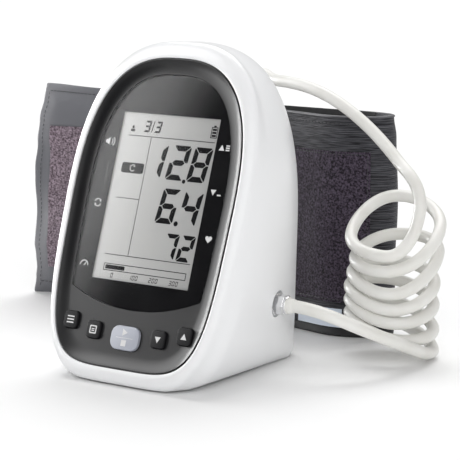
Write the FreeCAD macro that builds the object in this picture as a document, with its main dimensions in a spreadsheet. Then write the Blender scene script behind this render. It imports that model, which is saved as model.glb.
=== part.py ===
import FreeCAD, Part
import math
import os
import Sketcher

# Upright arm blood pressure monitor with its coiled air hose and arm cuff.
# Millimetres, +Z up, X to the user's right, Y away from the user.
# The origin lies on the table under the middle of the monitor's foot.

doc = FreeCAD.newDocument("blood_pressure_monitor")
sheet = doc.addObject("Spreadsheet::Sheet", "Sizes")

# Driving sizes, one cell each
SIZES = {
    # face plane: where it stands and how far it leans back, in degrees
    "face_lean": 18.9,
    "face_height": 112.9,
    "face_y": -32.7,
    # egg-shaped panel, measured from the middle of the display
    "panel_half_width": 63,
    "panel_top": 89,
    "panel_bottom": 107.8,
    # white rim round the panel
    "rim_side": 7.4,
    "rim_top": 11.75,
    "rim_bottom": 12.5,
    "rim_depth": 6,
    # casing behind the rim
    "body_length": 105.2,
    "body_middle_y": -20,
    "crown_radius": 65.8,
    "crown_y": 13.1,
    "crown_height": 140.1,
    "foot_half_width": 41.3,
    "foot_front_y": -65,
    "foot_rear_y": 68.7,
    "rear_bulge": 8,
    "casing_wall": 2.5,
    "ledge_depth": 5.6,
    "ledge_width": 3,
    "ledge_thickness": 2.4,
    # base plate and rubber foot ring
    "foot_height": 0.8,
    "plate_gap": 0.3,
    "plate_recess": 0.2,
    "plate_thickness": 2.4,
    "ring_half_width": 39.5,
    "ring_front": 59,
    "ring_rear": 63,
    "ring_width": 3.2,
    "ring_seat": 1.2,
    "seat_gap": 0.15,
    "base_screw_head_radius": 2.8,
    "base_screw_head_height": 1.3,
    "base_screw_radius": 1.5,
    "base_screw_length": 11,
    "base_screw_front_x": 20,
    "base_screw_front_y": -44,
    "base_screw_rear_x": 24,
    "base_screw_rear_y": 42,
    "boss_radius": 4,
    "boss_height": 16,
    "boss_rib": 2.4,
    "screw_gap": 0.05,
    # batteries, their box and door
    "cell_radius": 7.2,
    "cell_length": 49.2,
    "cell_nub_radius": 2.7,
    "cell_nub_length": 1.3,
    "cell_gap": 0.4,
    "battery_y": -9.5,
    "battery_wall": 1.5,
    "contact_thickness": 0.5,
    "contact_width": 9,
    "contact_spring": 1.6,
    "contact_spring_radius": 3,
    "door_ledge": 3,
    "door_thickness": 1.2,
    "door_gap": 0.2,
    "door_travel": 8,
    "door_tongue": 1.2,
    "door_tongue_length": 8,
    "door_tongue_thickness": 0.5,
    "door_corner": 3,
    "door_grip_width": 16,
    "door_grip_step": 2,
    "door_grip_depth": 0.5,
    # bezel, window and display, depths measured in from the rim plane
    "bezel_gap": 0.2,
    "bezel_recess": 0.1,
    "bezel_lip": 0.7,
    "bezel_floor": 5.5,
    "dish_width": 10,
    "dish_depth": 2.86,
    "window_thickness": 1.5,
    "window_chin": 71,
    "window_chin_radius": 119,
    "mask_thickness": 0.2,
    "view_width": 75,
    "view_height": 106.5,
    "view_margin": 1,
    "lcd_width": 80,
    "lcd_height": 112,
    "lcd_thickness": 2,
    "lcd_gap": 0.3,
    "lcd_play": 0.1,
    "light_height": 103,
    "light_thickness": 3,
    "holder_wall": 2.4,
    "holder_rail": 3.2,
    "zebra_length": 74,
    "zebra_width": 2.2,
    "zebra_inset": 2.5,
    # circuit boards
    "board_depth": 14.4,
    "board_width": 92,
    "board_height": 142,
    "board_thickness": 1.6,
    "board_post_x": 38,
    "board_post_y": 66,
    "board_post_radius": 3,
    "small_screw_radius": 1,
    "small_screw_length": 7,
    "small_screw_head_radius": 2.25,
    "small_screw_head_height": 1.6,
    "key_depth": 12,
    "key_board_width": 100,
    "key_board_height": 19.5,
    "key_board_y": -84.2,
    "key_post_x": 34.8,
    "key_post_y": -83,
    "key_post_radius": 2,
    # push buttons
    "small_button": 11,
    "small_button_corner": 2.6,
    "start_button_width": 21.5,
    "start_button_height": 15,
    "start_button_corner": 5.6,
    "button_proud": 2,
    "button_edge": 0.7,
    "button_gap": 0.2,
    "button_flange": 1.2,
    "button_flange_thickness": 1,
    "button_play": 0.1,
    "button_stem_radius": 1.6,
    "button_stem_length": 3.9,
    "outer_button_x": 44.3,
    "outer_button_y": -81.5,
    "inner_button_x": 25.2,
    "inner_button_y": -85.6,
    "start_button_y": -87.9,
    "switch_size": 6,
    "switch_height": 4,
    "switch_play": 0.2,
    # pump, valve, sensor and sounder
    "pump_y": 39.5,
    "pump_head_radius": 13.5,
    "pump_head_height": 26,
    "motor_radius": 12,
    "motor_height": 31,
    "motor_shaft_radius": 1,
    "motor_shaft_length": 4,
    "cup_wall": 2.4,
    "cup_floor": 2,
    "cup_height": 14,
    "nozzle_radius": 1.4,
    "nozzle_length": 6,
    "pump_nozzle_height": 20,
    "tube_radius": 2.5,
    "tube_grip": 4,
    "valve_width": 14,
    "valve_height": 22,
    "valve_depth": 13,
    "valve_x": -22,
    "valve_y": -12,
    "sensor_size": 11,
    "sensor_depth": 6,
    "sensor_x": 34,
    "sensor_y": -16,
    "tee_size": 12,
    "tee_x": 34,
    "speaker_radius": 10.5,
    "speaker_height": 6,
    "speaker_magnet_radius": 6,
    "speaker_y": -49,
    "sound_slot_length": 11,
    "sound_slot_width": 1.4,
    "sound_slot_pitch": 3.2,
    # air socket on the right flank
    "socket_y": 14,
    "socket_z": 46,
    "socket_floor_x": 58,
    "socket_recess_radius": 8.6,
    "socket_boss_radius": 11,
    "socket_boss_depth": 3.5,
    "socket_thread_radius": 4.2,
    "socket_flange_radius": 7,
    "socket_flange_thickness": 2,
    "socket_stub_radius": 3,
    "socket_stub_length": 9,
    "socket_bore": 1.5,
    "socket_tail_length": 6,
    "nut_width": 13,
    "nut_thickness": 4.5,
    "plug_gap": 0.05,
    "plug_radius": 5.2,
    "plug_length": 13,
    "plug_collar_radius": 5.8,
    "plug_collar_length": 3,
    # air hose
    "hose_diameter": 8,
    "coil_x": 92.5,
    "coil_y": 100,
    "coil_facing": 36,
    "coil_radius": 30.5,
    "coil_draw_in": 3.6,
    "coil_drift": 1.2,
    "coil_low": 4.6,
    "coil_low_rise": 16.2,
    "coil_high": 27.2,
    "coil_high_rise": 9.1,
    "coil_swing": 9,
    "coil_tail_rise": 170,
    "hose_end": 8.2,
    # arm cuff
    "cuff_height": 150,
    "cuff_y": 146,
    "cuff_thickness": 5.6,
    "bladder_thickness": 2.4,
    "bladder_gap": 0.2,
    "bladder_margin": 12,
    "bladder_top": 2,
    "patch_gap": 0.2,
    "patch_thickness": 0.8,
    "patch_margin_top": 20,
    "patch_margin_low": 26,
    "label_height": 16,
    "label_thickness": 0.3,
    "label_low": 8,
    "port_radius": 7,
    "port_flange": 2,
    "port_cup_radius": 5.8,
    "port_cup_height": 9,
    "port_floor": 5,
    "port_neck_radius": 1.3,
    # shared by all cuts
    "overrun": 2,
}

for row, (name, value) in enumerate(SIZES.items(), start=1):
    sheet.set(f"A{row}", name)
    sheet.set(f"B{row}", str(value))
    sheet.setAlias(f"B{row}", name)
doc.recompute()


class Size:
    """A length that knows both its value and the sheet expression it comes from."""

    def __init__(self, text, value):
        self.text = text
        self.value = value

    def _join(self, sign, other, swap=False):
        other = other if isinstance(other, Size) else Size(repr(other), other)
        one, two = (other, self) if swap else (self, other)
        value = {
            "+": one.value + two.value,
            "-": one.value - two.value,
            "*": one.value * two.value,
        }[sign]
        return Size(f"({one.text} {sign} {two.text})", value)

    def __add__(self, other):
        return self._join("+", other)

    def __radd__(self, other):
        return self._join("+", other, swap=True)

    def __sub__(self, other):
        return self._join("-", other)

    def __rsub__(self, other):
        return self._join("-", other, swap=True)

    def __mul__(self, other):
        return self._join("*", other)

    def __rmul__(self, other):
        return self._join("*", other, swap=True)

    def __truediv__(self, count):
        return Size(f"({self.text} / {count})", self.value / count)

    def __neg__(self):
        return Size(f"(-{self.text})", -self.value)

    def __float__(self):
        return float(self.value)


class Sheet:
    """Gives each cell of the sheet as a Size."""

    def __getattr__(self, name):
        return Size(f"Sizes.{name}", float(sheet.get(name)))


S = Sheet()
X_AXIS = FreeCAD.Vector(1, 0, 0)
Y_AXIS = FreeCAD.Vector(0, 1, 0)
Z_AXIS = FreeCAD.Vector(0, 0, 1)
WORLD = FreeCAD.Placement()


def vector(x, y, z):
    return FreeCAD.Vector(float(x), float(y), float(z))


# Face frame: x to the right, y up the face, z out of it, origin on the rim plane
FACE = FreeCAD.Placement(
    vector(0, S.face_y, S.face_height),
    FreeCAD.Rotation(X_AXIS, 90 - float(S.face_lean)),
)


def scratch(kind, name):
    return doc.addObject(kind, name)


def block(name, length, width, height, middle, bottom, frame=WORLD):
    """A brick standing on a height, centred on a point seen from above."""
    brick = scratch("Part::Box", name)
    for prop, size in (("Length", length), ("Width", width), ("Height", height)):
        brick.setExpression(prop, size.text)
    x, y = (float(value) for value in middle)
    corner = vector(x - float(length) / 2, y - float(width) / 2, bottom)
    brick.Placement = frame.multiply(FreeCAD.Placement(corner, FreeCAD.Rotation()))
    return brick


def rod(name, radius, length, start, axis=Z_AXIS):
    """A round bar from a point along an axis."""
    bar = scratch("Part::Cylinder", name)
    bar.setExpression("Radius", radius.text)
    bar.setExpression("Height", length.text)
    bar.Placement = FreeCAD.Placement(vector(*start), FreeCAD.Rotation(Z_AXIS, axis))
    return bar


def fuse(name, shapes, frame=WORLD):
    whole = scratch("Part::MultiFuse", name)
    whole.Shapes = shapes
    whole.Refine = True
    whole.Placement = frame
    return whole


def cut(name, base, tools, frame=WORLD):
    if len(tools) == 1:
        tool = tools[0]
    else:
        tool = scratch("Part::MultiFuse", name + "_tools")
        tool.Shapes = tools
    rest = scratch("Part::Cut", name)
    rest.Base = base
    rest.Tool = tool
    rest.Placement = frame
    return rest


def common(name, one, two):
    shared = scratch("Part::Common", name)
    shared.Base = one
    shared.Tool = two
    return shared


def solid(name, shape, frame=WORLD):
    """A piece whose form is set by a formula."""
    piece = scratch("Part::Feature", name)
    piece.Shape = shape
    piece.Placement = frame
    return piece


def group(name, pieces, frame=WORLD):
    """Several separate solids that are one kind of piece."""
    bunch = scratch("Part::Compound", name)
    bunch.Links = pieces
    bunch.Placement = frame
    return bunch


nodes = {}


def node(name, piece):
    piece.Label = name
    nodes[name] = piece
    return piece


# Outlines

OUTLINE_POINTS = 32


def egg_points(half, top, bottom, top_power, bottom_power, taper):
    """An egg outline made of two superellipse halves, from its lowest point round."""
    points = []
    for step in range(OUTLINE_POINTS):
        angle = 2 * math.pi * step / OUTLINE_POINTS - math.pi / 2
        cosine, sine = math.cos(angle), math.sin(angle)
        power = top_power if sine >= 0 else bottom_power
        across = half * math.copysign(abs(cosine) ** (2 / power), cosine)
        along = math.copysign(abs(sine) ** (2 / power), sine)
        if along < 0:
            across *= 1 + taper * along
        points.append((across, along * (top if along > 0 else bottom)))
    return points


def closed_wire(points):
    curve = Part.BSplineCurve()
    curve.interpolate(points, PeriodicFlag=True)
    return Part.Wire([curve.toShape()])


PANEL_TOP_POWER = 2.65
PANEL_BOTTOM_POWER = 4.6
RIM_BOTTOM_POWER = 3.5
PANEL_TAPER_SHARE = 0.04
BODY_TOP_POWER = 2.23
BODY_BOTTOM_POWER = 4.2


def panel_wire(inset, depth):
    """The panel's outline drawn in by an inset, in the face frame."""
    points = egg_points(
        float(S.panel_half_width - inset),
        float(S.panel_top - inset),
        float(S.panel_bottom - inset),
        PANEL_TOP_POWER,
        PANEL_BOTTOM_POWER,
        PANEL_TAPER_SHARE,
    )
    return closed_wire([vector(x, y, depth) for x, y in points])


def panel_prism(inset, from_depth, to_depth):
    """A straight prism of the panel's outline between two depths of the face frame."""
    face = Part.Face(panel_wire(inset, from_depth))
    return face.extrude(vector(0, 0, float(to_depth) - float(from_depth)))


# Casing form: sections that start on the leaning face and stand upright at the rear.
# Rim rows: depth, sideways growth, upward growth.
RIM_SHARES = ((0, 0, 0), (0.13, 0.45, 0.40), (0.42, 0.80, 0.72), (1, 1, 1))
# Body rows stand ever more upright, and their widest line comes down.
BODY_ROWS = 9
LEAN_POWER = 1.3
WAIST_DROP_SHARES = (0.17, 0.12)
# Rear rows: place along the bulge, width.
REAR_SHARES = ((0.40, 0.88), (0.75, 0.66), (1, 0.42))
STEEPEST_SHARE = 0.97


def rim_section(depth, side, top, inset):
    half = float(S.panel_half_width) + side * float(S.rim_side) - inset
    high = float(S.panel_top) + top * float(S.rim_top) - inset
    low = float(S.panel_bottom) + side * float(S.rim_bottom) - inset
    power = PANEL_BOTTOM_POWER + side * (RIM_BOTTOM_POWER - PANEL_BOTTOM_POWER)
    points = egg_points(half, high, low, PANEL_TOP_POWER, power, PANEL_TAPER_SHARE)
    return closed_wire([FACE.multVec(vector(x, y, -depth)) for x, y in points])


def body_half(y):
    """Half the casing's width at its widest line."""
    run = max(y - float(S.body_middle_y), 0) / float(S.body_length)
    return float(S.panel_half_width + S.rim_side) * math.sqrt(1 - run**2)


def body_section(y, lean, waist, half, inset):
    """One upright section through the casing, standing on the table at y."""
    rise = vector(0, math.sin(lean), math.cos(lean))
    foot = vector(0, y, 0)
    to_crown = vector(0, S.crown_y, S.crown_height) - foot
    along = to_crown.dot(rise)
    aside = to_crown.dot(to_crown) - along**2
    crown = along + math.sqrt(float(S.crown_radius) ** 2 - aside)
    middle = waist / rise.z
    spread = min(float(S.foot_half_width) / half, STEEPEST_SHARE)
    depth = middle / (1 - spread**BODY_BOTTOM_POWER) ** (1 / BODY_BOTTOM_POWER)
    points = egg_points(half - inset, crown - middle - inset, depth, BODY_TOP_POWER, BODY_BOTTOM_POWER, 0)
    return closed_wire([foot + rise * (v + middle) + X_AXIS * x for x, v in points])


def casing_form(inset, first_depth=None):
    """The casing's outer form, or a smaller one inside it for its hollow."""
    if first_depth is None:
        sections = [
            rim_section(deep * float(S.rim_depth), side, top, inset) for deep, side, top in RIM_SHARES
        ]
    else:
        sections = [rim_section(first_depth, 1, 1, inset)]
    front = float(S.foot_front_y)
    run = float(S.foot_rear_y) - inset - front
    even, late = WAIST_DROP_SHARES
    for row in range(1, BODY_ROWS + 1):
        place = row / BODY_ROWS
        y = front + place * run
        tilt = math.radians((1 - place**LEAN_POWER) * float(S.face_lean))
        waist = (1 - even * place - late * place**3) * float(S.face_height)
        sections.append(body_section(y, tilt, waist, body_half(y + waist * math.tan(tilt)), inset))
    last = body_half(front + run)
    for place, width in REAR_SHARES:
        y = front + run + place * float(S.rear_bulge)
        sections.append(body_section(y, 0, waist, width * last, inset))
    return Part.makeLoft(sections, True, True)


# Casing shell

casing_outer = solid("casing_outer", casing_form(0))
hollow_depth = S.ledge_depth + S.ledge_thickness
casing_hollow = solid("casing_hollow", casing_form(float(S.casing_wall), float(hollow_depth)))
reach = 4 * S.panel_bottom
under_table = block("under_table", reach, reach, reach, (0, 0), float(S.foot_height - reach))
panel_mouth = solid("panel_mouth", panel_prism(Size("0", 0), S.overrun, -S.ledge_depth), FACE)
panel_throat = solid(
    "panel_throat",
    panel_prism(S.ledge_width, -S.ledge_depth + S.overrun, -(hollow_depth + S.overrun)),
    FACE,
)
plate_low = S.foot_height + S.plate_recess
plate_high = plate_low + S.plate_thickness
BASE_SCREWS = [
    (side * place_x, place_y)
    for place_x, place_y in (
        (S.base_screw_front_x, S.base_screw_front_y),
        (S.base_screw_rear_x, S.base_screw_rear_y),
    )
    for side in (-1, 1)
]
boss_parts = []
for number, (x, y) in enumerate(BASE_SCREWS):
    post = rod(f"boss_post_{number}", S.boss_radius, S.boss_height, (x, y, plate_high))
    span = S.panel_half_width
    outward = math.copysign(1, float(x))
    rib = block(f"boss_rib_{number}", span, S.boss_rib, S.boss_height, (x + outward * span / 2, y), plate_high)
    boss_parts += [post, rib]
bosses = common("bosses", fuse("boss_blank", boss_parts), casing_outer)
boss_holes = [
    rod(f"boss_hole_{number}", S.base_screw_radius + S.screw_gap, S.base_screw_length + S.overrun, (x, y, plate_low))
    for number, (x, y) in enumerate(BASE_SCREWS)
]
socket_start = (S.socket_floor_x - S.socket_boss_depth, S.socket_y, S.socket_z)
socket_boss = common(
    "socket_boss",
    rod("socket_boss_blank", S.socket_boss_radius, S.panel_half_width, socket_start, X_AXIS),
    casing_outer,
)
socket_recess = rod(
    "socket_recess",
    S.socket_recess_radius,
    S.panel_half_width,
    (S.socket_floor_x, S.socket_y, S.socket_z),
    X_AXIS,
)
socket_hole = rod(
    "socket_hole",
    S.socket_thread_radius + S.screw_gap,
    S.panel_half_width,
    (S.socket_floor_x - S.panel_half_width / 2, S.socket_y, S.socket_z),
    X_AXIS,
)
shell_blank = cut("shell_blank", casing_outer, [casing_hollow, under_table, panel_mouth, panel_throat])
shell_ribbed = fuse("shell_ribbed", [shell_blank, bosses, socket_boss])
node(
    "casing_shell",
    cut(
        "casing_shell",
        shell_ribbed,
        [socket_recess, socket_hole] + boss_holes,
    ),
)

# Base plate, foot ring and base screws


def plan_wire(half, front, rear, height):
    """An oval in plan, rounder at the front than at the rear."""
    points = egg_points(float(half), float(rear), float(front), RING_REAR_POWER, RING_FRONT_POWER, 0)
    return closed_wire([vector(x, y, height) for x, y in points])


RING_REAR_POWER = 3.0
RING_FRONT_POWER = 3.2


def foot_ring_shape(gap, low, high):
    rings = [
        Part.Face(plan_wire(S.ring_half_width + grow, S.ring_front + grow, S.ring_rear + grow, low)).extrude(
            vector(0, 0, float(high) - float(low))
        )
        for grow in (gap, -(S.ring_width + gap))
    ]
    return rings[0].cut(rings[1])


cells = 4
cell_pitch = 2 * S.cell_radius + S.cell_gap
box_inner_width = cells * cell_pitch + S.cell_gap
contact_room = S.contact_thickness + S.contact_spring
box_inner_length = S.cell_length + S.cell_nub_length + S.contact_thickness + contact_room
box_inner_height = 2 * S.cell_radius + S.cell_gap
door_width = box_inner_width + 2 * S.door_ledge - 2 * S.battery_wall
door_length = box_inner_length + 2 * S.door_ledge - 2 * S.battery_wall
opening_width = door_width - 2 * S.door_ledge
opening_length = door_length - 2 * S.door_ledge
battery_middle = (0, S.battery_y)

plate_blank = common(
    "plate_blank",
    solid("plate_form", casing_form(float(S.casing_wall + S.plate_gap), float(hollow_depth + S.plate_gap))),
    block("plate_slab", reach, reach, S.plate_thickness, (0, 0), plate_low),
)
rebate = block(
    "door_rebate",
    door_width + 2 * S.door_gap,
    door_length + 2 * S.door_gap + S.door_travel,
    S.door_thickness + S.seat_gap + S.overrun,
    (0, S.battery_y + S.door_travel / 2),
    plate_low - S.overrun,
)
opening = block(
    "battery_opening",
    opening_width,
    opening_length,
    S.plate_thickness + 2 * S.overrun,
    battery_middle,
    plate_low - S.overrun,
)
tongue_low = plate_low + (S.door_thickness - S.door_tongue_thickness) / 2
groove = block(
    "door_groove",
    door_width + 2 * S.door_tongue + 2 * S.door_gap,
    S.door_tongue_length + 2 * S.door_gap + S.door_travel,
    S.door_tongue_thickness + 2 * S.seat_gap,
    (0, S.battery_y + S.door_travel / 2),
    tongue_low - S.seat_gap,
)
ring_groove = solid("ring_groove", foot_ring_shape(S.seat_gap, 0, S.foot_height + S.plate_recess + S.ring_seat))
sound_slots = [
    block(
        f"sound_slot_{number}",
        S.sound_slot_length,
        S.sound_slot_width,
        S.plate_thickness + 2 * S.overrun,
        (0, S.speaker_y + (number - 1) * S.sound_slot_pitch),
        plate_low - S.overrun,
    )
    for number in range(3)
]
screw_heads = []
screw_passes = []
for number, (x, y) in enumerate(BASE_SCREWS):
    screw_heads.append(
        rod(
            f"screw_sink_{number}",
            S.base_screw_head_radius + S.seat_gap,
            S.base_screw_head_height + S.overrun,
            (x, y, plate_low - S.overrun),
        )
    )
    screw_passes.append(
        rod(
            f"screw_pass_{number}",
            S.base_screw_radius + S.seat_gap,
            S.plate_thickness + 2 * S.overrun,
            (x, y, plate_low - S.overrun),
        )
    )
node(
    "base_plate",
    cut("base_plate", plate_blank, [rebate, opening, groove, ring_groove] + sound_slots + screw_heads + screw_passes),
)
node("foot_ring", solid("foot_ring", foot_ring_shape(Size("0", 0), 0, plate_low + S.ring_seat)))
base_screws = []
for number, (x, y) in enumerate(BASE_SCREWS):
    head = rod(f"base_screw_head_{number}", S.base_screw_head_radius, S.base_screw_head_height, (x, y, plate_low))
    shank = rod(
        f"base_screw_shank_{number}",
        S.base_screw_radius,
        S.base_screw_length,
        (x, y, plate_low + S.base_screw_head_height - S.screw_gap),
    )
    base_screws.append(fuse(f"base_screw_{number}", [head, shank]))
node("base_screws", group("base_screws", base_screws))

# Sketch helpers for pieces that are padded from a flat outline


def new_body(name, frame=WORLD):
    body = doc.addObject("PartDesign::Body", name)
    body.Placement = frame
    return body


def new_sketch(body, name, height=0):
    """A sketch parallel to the body's own XY plane."""
    sketch = body.newObject("Sketcher::SketchObject", name)
    plane = next(feature for feature in body.Origin.OriginFeatures if feature.Role == "XY_Plane")
    sketch.AttachmentSupport = [(plane, "")]
    sketch.MapMode = "FlatFace"
    sketch.AttachmentOffset = FreeCAD.Placement(vector(0, 0, height), FreeCAD.Rotation())
    return sketch


def bound(sketch, name, kind, where, size):
    """Adds a dimension to a sketch and ties it to the sheet."""
    index = sketch.addConstraint(Sketcher.Constraint(kind, *where, float(size)))
    sketch.renameConstraint(index, name)
    sketch.setExpression("Constraints." + name, size.text)


def draw_rounded(sketch, tag, width, height, corner):
    """A rectangle with round corners about the sketch's origin."""
    first = sketch.GeometryCount
    w, h, r = float(width) / 2, float(height) / 2, float(corner)
    corners = ((w - r, r - h, -90), (w - r, h - r, 0), (r - w, h - r, 90), (r - w, r - h, 180))
    starts = ((r - w, -h), (w, r - h), (w - r, h), (-w, h - r))
    ends = ((w - r, -h), (w, h - r), (r - w, h), (-w, r - h))
    for start, end, (x, y, turn) in zip(starts, ends, corners):
        sketch.addGeometry(Part.LineSegment(vector(*start, 0), vector(*end, 0)))
        circle = Part.Circle(vector(x, y, 0), Z_AXIS, r)
        arc = Part.ArcOfCircle(circle, math.radians(turn), math.radians(turn + 90))
        sketch.addGeometry(arc)
    for step in range(8):
        sketch.addConstraint(Sketcher.Constraint("Tangent", first + step, 2, first + (step + 1) % 8, 1))
    for step, kind in ((0, "Horizontal"), (2, "Vertical"), (4, "Horizontal"), (6, "Vertical")):
        sketch.addConstraint(Sketcher.Constraint(kind, first + step))
    for step in (1, 3, 5):
        sketch.addConstraint(Sketcher.Constraint("Equal", first + step, first + step + 2))
    bound(sketch, tag + "_corner", "Radius", (first + 1,), corner)
    bound(sketch, tag + "_width", "DistanceX", (first + 6, 1, first + 2, 1), width)
    bound(sketch, tag + "_height", "DistanceY", (first, 1, first + 4, 1), height)
    bound(sketch, tag + "_right", "DistanceX", (-1, 1, first + 2, 1), width / 2)
    bound(sketch, tag + "_top", "DistanceY", (-1, 1, first + 4, 1), height / 2)


def draw_circle(sketch, tag, radius):
    index = sketch.addGeometry(Part.Circle(vector(0, 0, 0), Z_AXIS, float(radius)))
    sketch.addConstraint(Sketcher.Constraint("Coincident", index, 3, -1, 1))
    bound(sketch, tag + "_radius", "Radius", (index,), radius)


def pad(body, sketch, length, downward=False):
    feature = body.newObject("PartDesign::Pad", sketch.Name + "_pad")
    feature.Profile = sketch
    feature.setExpression("Length", length.text)
    feature.Reversed = downward
    doc.recompute()
    return feature


def pocket(body, sketch, length, upward=False):
    feature = body.newObject("PartDesign::Pocket", sketch.Name + "_pocket")
    feature.Profile = sketch
    feature.setExpression("Length", length.text)
    feature.Reversed = upward
    doc.recompute()
    return feature


# Battery door: slides rearwards in the base plate's rebate

door = new_body("battery_door", FreeCAD.Placement(vector(0, S.battery_y, plate_low), FreeCAD.Rotation()))
door_face = new_sketch(door, "door_face")
draw_rounded(door_face, "door", door_width, door_length, S.door_corner)
pad(door, door_face, S.door_thickness)
tongue_sketch = new_sketch(door, "door_tongues", tongue_low - plate_low)
draw_rounded(
    tongue_sketch, "tongue", door_width + 2 * S.door_tongue, S.door_tongue_length, S.door_tongue / 2
)
pad(door, tongue_sketch, S.door_tongue_thickness)
for number in range(3):
    grip = new_sketch(door, f"door_grip_{number}")
    draw_rounded(grip, "grip", S.door_grip_width, S.door_grip_step / 2, S.door_grip_step / 5)
    grip.AttachmentOffset.Base = vector(0, (number - 1) * S.door_grip_step - door_length / 4, 0)
    pocket(door, grip, S.door_grip_depth, upward=True)
node("battery_door", door)

# Battery box on the base plate, its cells and contacts

box_blank = block(
    "box_blank",
    box_inner_width + 2 * S.battery_wall,
    box_inner_length + 2 * S.battery_wall,
    box_inner_height + S.battery_wall,
    battery_middle,
    plate_high,
)
box_room = block(
    "box_room",
    box_inner_width,
    box_inner_length,
    box_inner_height + S.overrun,
    battery_middle,
    plate_high - S.overrun,
)
node("battery_box", cut("battery_box", box_blank, [box_room]))

cell_solids = []
contacts = []
box_front = S.battery_y - box_inner_length / 2
cell_height = plate_high + box_inner_height - S.cell_radius
for number in range(cells):
    x = (number - (cells - 1) / 2) * cell_pitch
    nub_first = number % 2 == 0
    spring_at = box_front + box_inner_length - contact_room if nub_first else box_front + S.contact_thickness
    can_start = box_front + S.contact_thickness + (S.cell_nub_length if nub_first else S.contact_spring)
    nub_start = box_front + S.contact_thickness if nub_first else can_start + S.cell_length
    can = rod(f"cell_can_{number}", S.cell_radius, S.cell_length, (x, can_start, cell_height), Y_AXIS)
    nub = rod(f"cell_nub_{number}", S.cell_nub_radius, S.cell_nub_length, (x, nub_start, cell_height), Y_AXIS)
    cell_solids.append(fuse(f"cell_{number}", [can, nub]))
    for end, plate_y in enumerate((box_front, box_front + box_inner_length - S.contact_thickness)):
        leaf = block(
            f"contact_leaf_{number}_{end}",
            S.contact_width,
            S.contact_thickness,
            S.contact_width,
            (x, plate_y + S.contact_thickness / 2),
            cell_height - S.contact_width / 2,
        )
        if (end == 1) == nub_first:
            coil = rod(
                f"contact_spring_{number}", S.contact_spring_radius, S.contact_spring, (x, spring_at, cell_height), Y_AXIS
            )
            leaf = fuse(f"contact_{number}_{end}", [leaf, coil])
        contacts.append(leaf)
node("aa_cells", group("aa_cells", cell_solids))
node("battery_contacts", group("battery_contacts", contacts))

# Speaker over the sound slots

speaker_frame = rod("speaker_frame", S.speaker_radius, S.speaker_height / 2, (0, S.speaker_y, plate_high))
speaker_magnet = rod(
    "speaker_magnet", S.speaker_magnet_radius, S.speaker_height, (0, S.speaker_y, plate_high)
)
node("speaker", fuse("speaker", [speaker_frame, speaker_magnet]))

# Bezel: a shallow dish with a window seat, button holes and posts for the boards

DISH_SHARES = (0, 0.33, 0.64, 0.94, 1.15)


def dish_shape():
    """The hollow of the dish, a circular cove round a flat floor."""
    width = float(S.dish_width - S.bezel_lip)
    deep = float(S.dish_depth)
    radius = (width**2 + deep**2) / (2 * deep)
    sections = []
    for share in DISH_SHARES:
        run = share * width
        rise = radius - math.sqrt(radius**2 - run**2)
        sections.append(panel_wire(S.dish_width - run, rise - deep))
    return Part.makeLoft(sections, True, True)


def window_shape(grow, from_depth, to_depth):
    """The window's outline: the dish's floor with a round chin."""
    blank = panel_prism(S.dish_width - grow, from_depth, to_depth)
    chin = S.window_chin_radius + grow
    low = min(float(from_depth), float(to_depth))
    middle = vector(0, S.window_chin_radius - S.window_chin, low)
    high = abs(float(to_depth) - float(from_depth))
    disc = Part.makeCylinder(float(chin), high, middle, Z_AXIS)
    return blank.common(disc)


dish_floor = -S.dish_depth
window_low = dish_floor - S.window_thickness
mask_low = window_low - S.mask_thickness
bezel_blank = solid("bezel_blank", panel_prism(S.bezel_gap, -S.bezel_recess, -S.bezel_floor))
dish = solid("dish", dish_shape())
window_seat = solid("window_seat", window_shape(S.seat_gap, dish_floor + S.overrun, mask_low))
view_opening = block(
    "view_opening",
    S.view_width + 2 * S.view_margin,
    S.view_height + 2 * S.view_margin,
    S.bezel_floor + S.overrun,
    (0, 0),
    -(S.bezel_floor + S.overrun),
)
BUTTONS = (
    ("mode_button", -S.outer_button_x, S.outer_button_y),
    ("memory_button", -S.inner_button_x, S.inner_button_y),
    ("start_stop_button", 0, S.start_button_y),
    ("down_button", S.inner_button_x, S.inner_button_y),
    ("up_button", S.outer_button_x, S.outer_button_y),
)


def button_size(name):
    if name == "start_stop_button":
        return S.start_button_width, S.start_button_height, S.start_button_corner
    return S.small_button, S.small_button, S.small_button_corner


def face_place(x, y, depth):
    return FACE.multiply(FreeCAD.Placement(vector(x, y, depth), FreeCAD.Rotation()))


button_holes = []
for name, x, y in BUTTONS:
    width, height, corner = button_size(name)
    hole = new_body(name + "_hole", FreeCAD.Placement(vector(x, y, -S.bezel_floor), FreeCAD.Rotation()))
    outline = new_sketch(hole, name + "_hole_outline", -S.overrun)
    draw_rounded(
        outline, "hole", width + 2 * S.button_gap, height + 2 * S.button_gap, corner + S.button_gap
    )
    pad(hole, outline, S.bezel_floor + 2 * S.overrun)
    button_holes.append(hole)
BOARD_POSTS = [
    (right * S.board_post_x, up * S.board_post_y, S.board_depth, S.board_post_radius)
    for right in (-1, 1)
    for up in (-1, 1)
]
KEY_POSTS = [(right * S.key_post_x, S.key_post_y, S.key_depth, S.key_post_radius) for right in (-1, 1)]
posts = []
post_holes = []
for number, (x, y, depth, radius) in enumerate(BOARD_POSTS + KEY_POSTS):
    posts.append(rod(f"board_post_{number}", radius, depth - S.dish_depth - S.window_thickness, (x, y, -depth)))
    reach_in = S.small_screw_length - S.board_thickness
    post_holes.append(
        rod(
            f"board_post_hole_{number}",
            S.small_screw_radius + S.screw_gap,
            reach_in + S.seat_gap + S.overrun,
            (x, y, -(depth + S.overrun)),
        )
    )
bezel_dished = cut("bezel_dished", bezel_blank, [dish])
bezel_posted = fuse("bezel_posted", [bezel_dished] + posts)
node(
    "bezel",
    cut("bezel", bezel_posted, [window_seat, view_opening] + button_holes + post_holes, FACE),
)
node("display_window", solid("display_window", window_shape(Size("0", 0), window_low, dish_floor), FACE))
mask_blank = solid("mask_blank", window_shape(Size("0", 0), mask_low, window_low))
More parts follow.
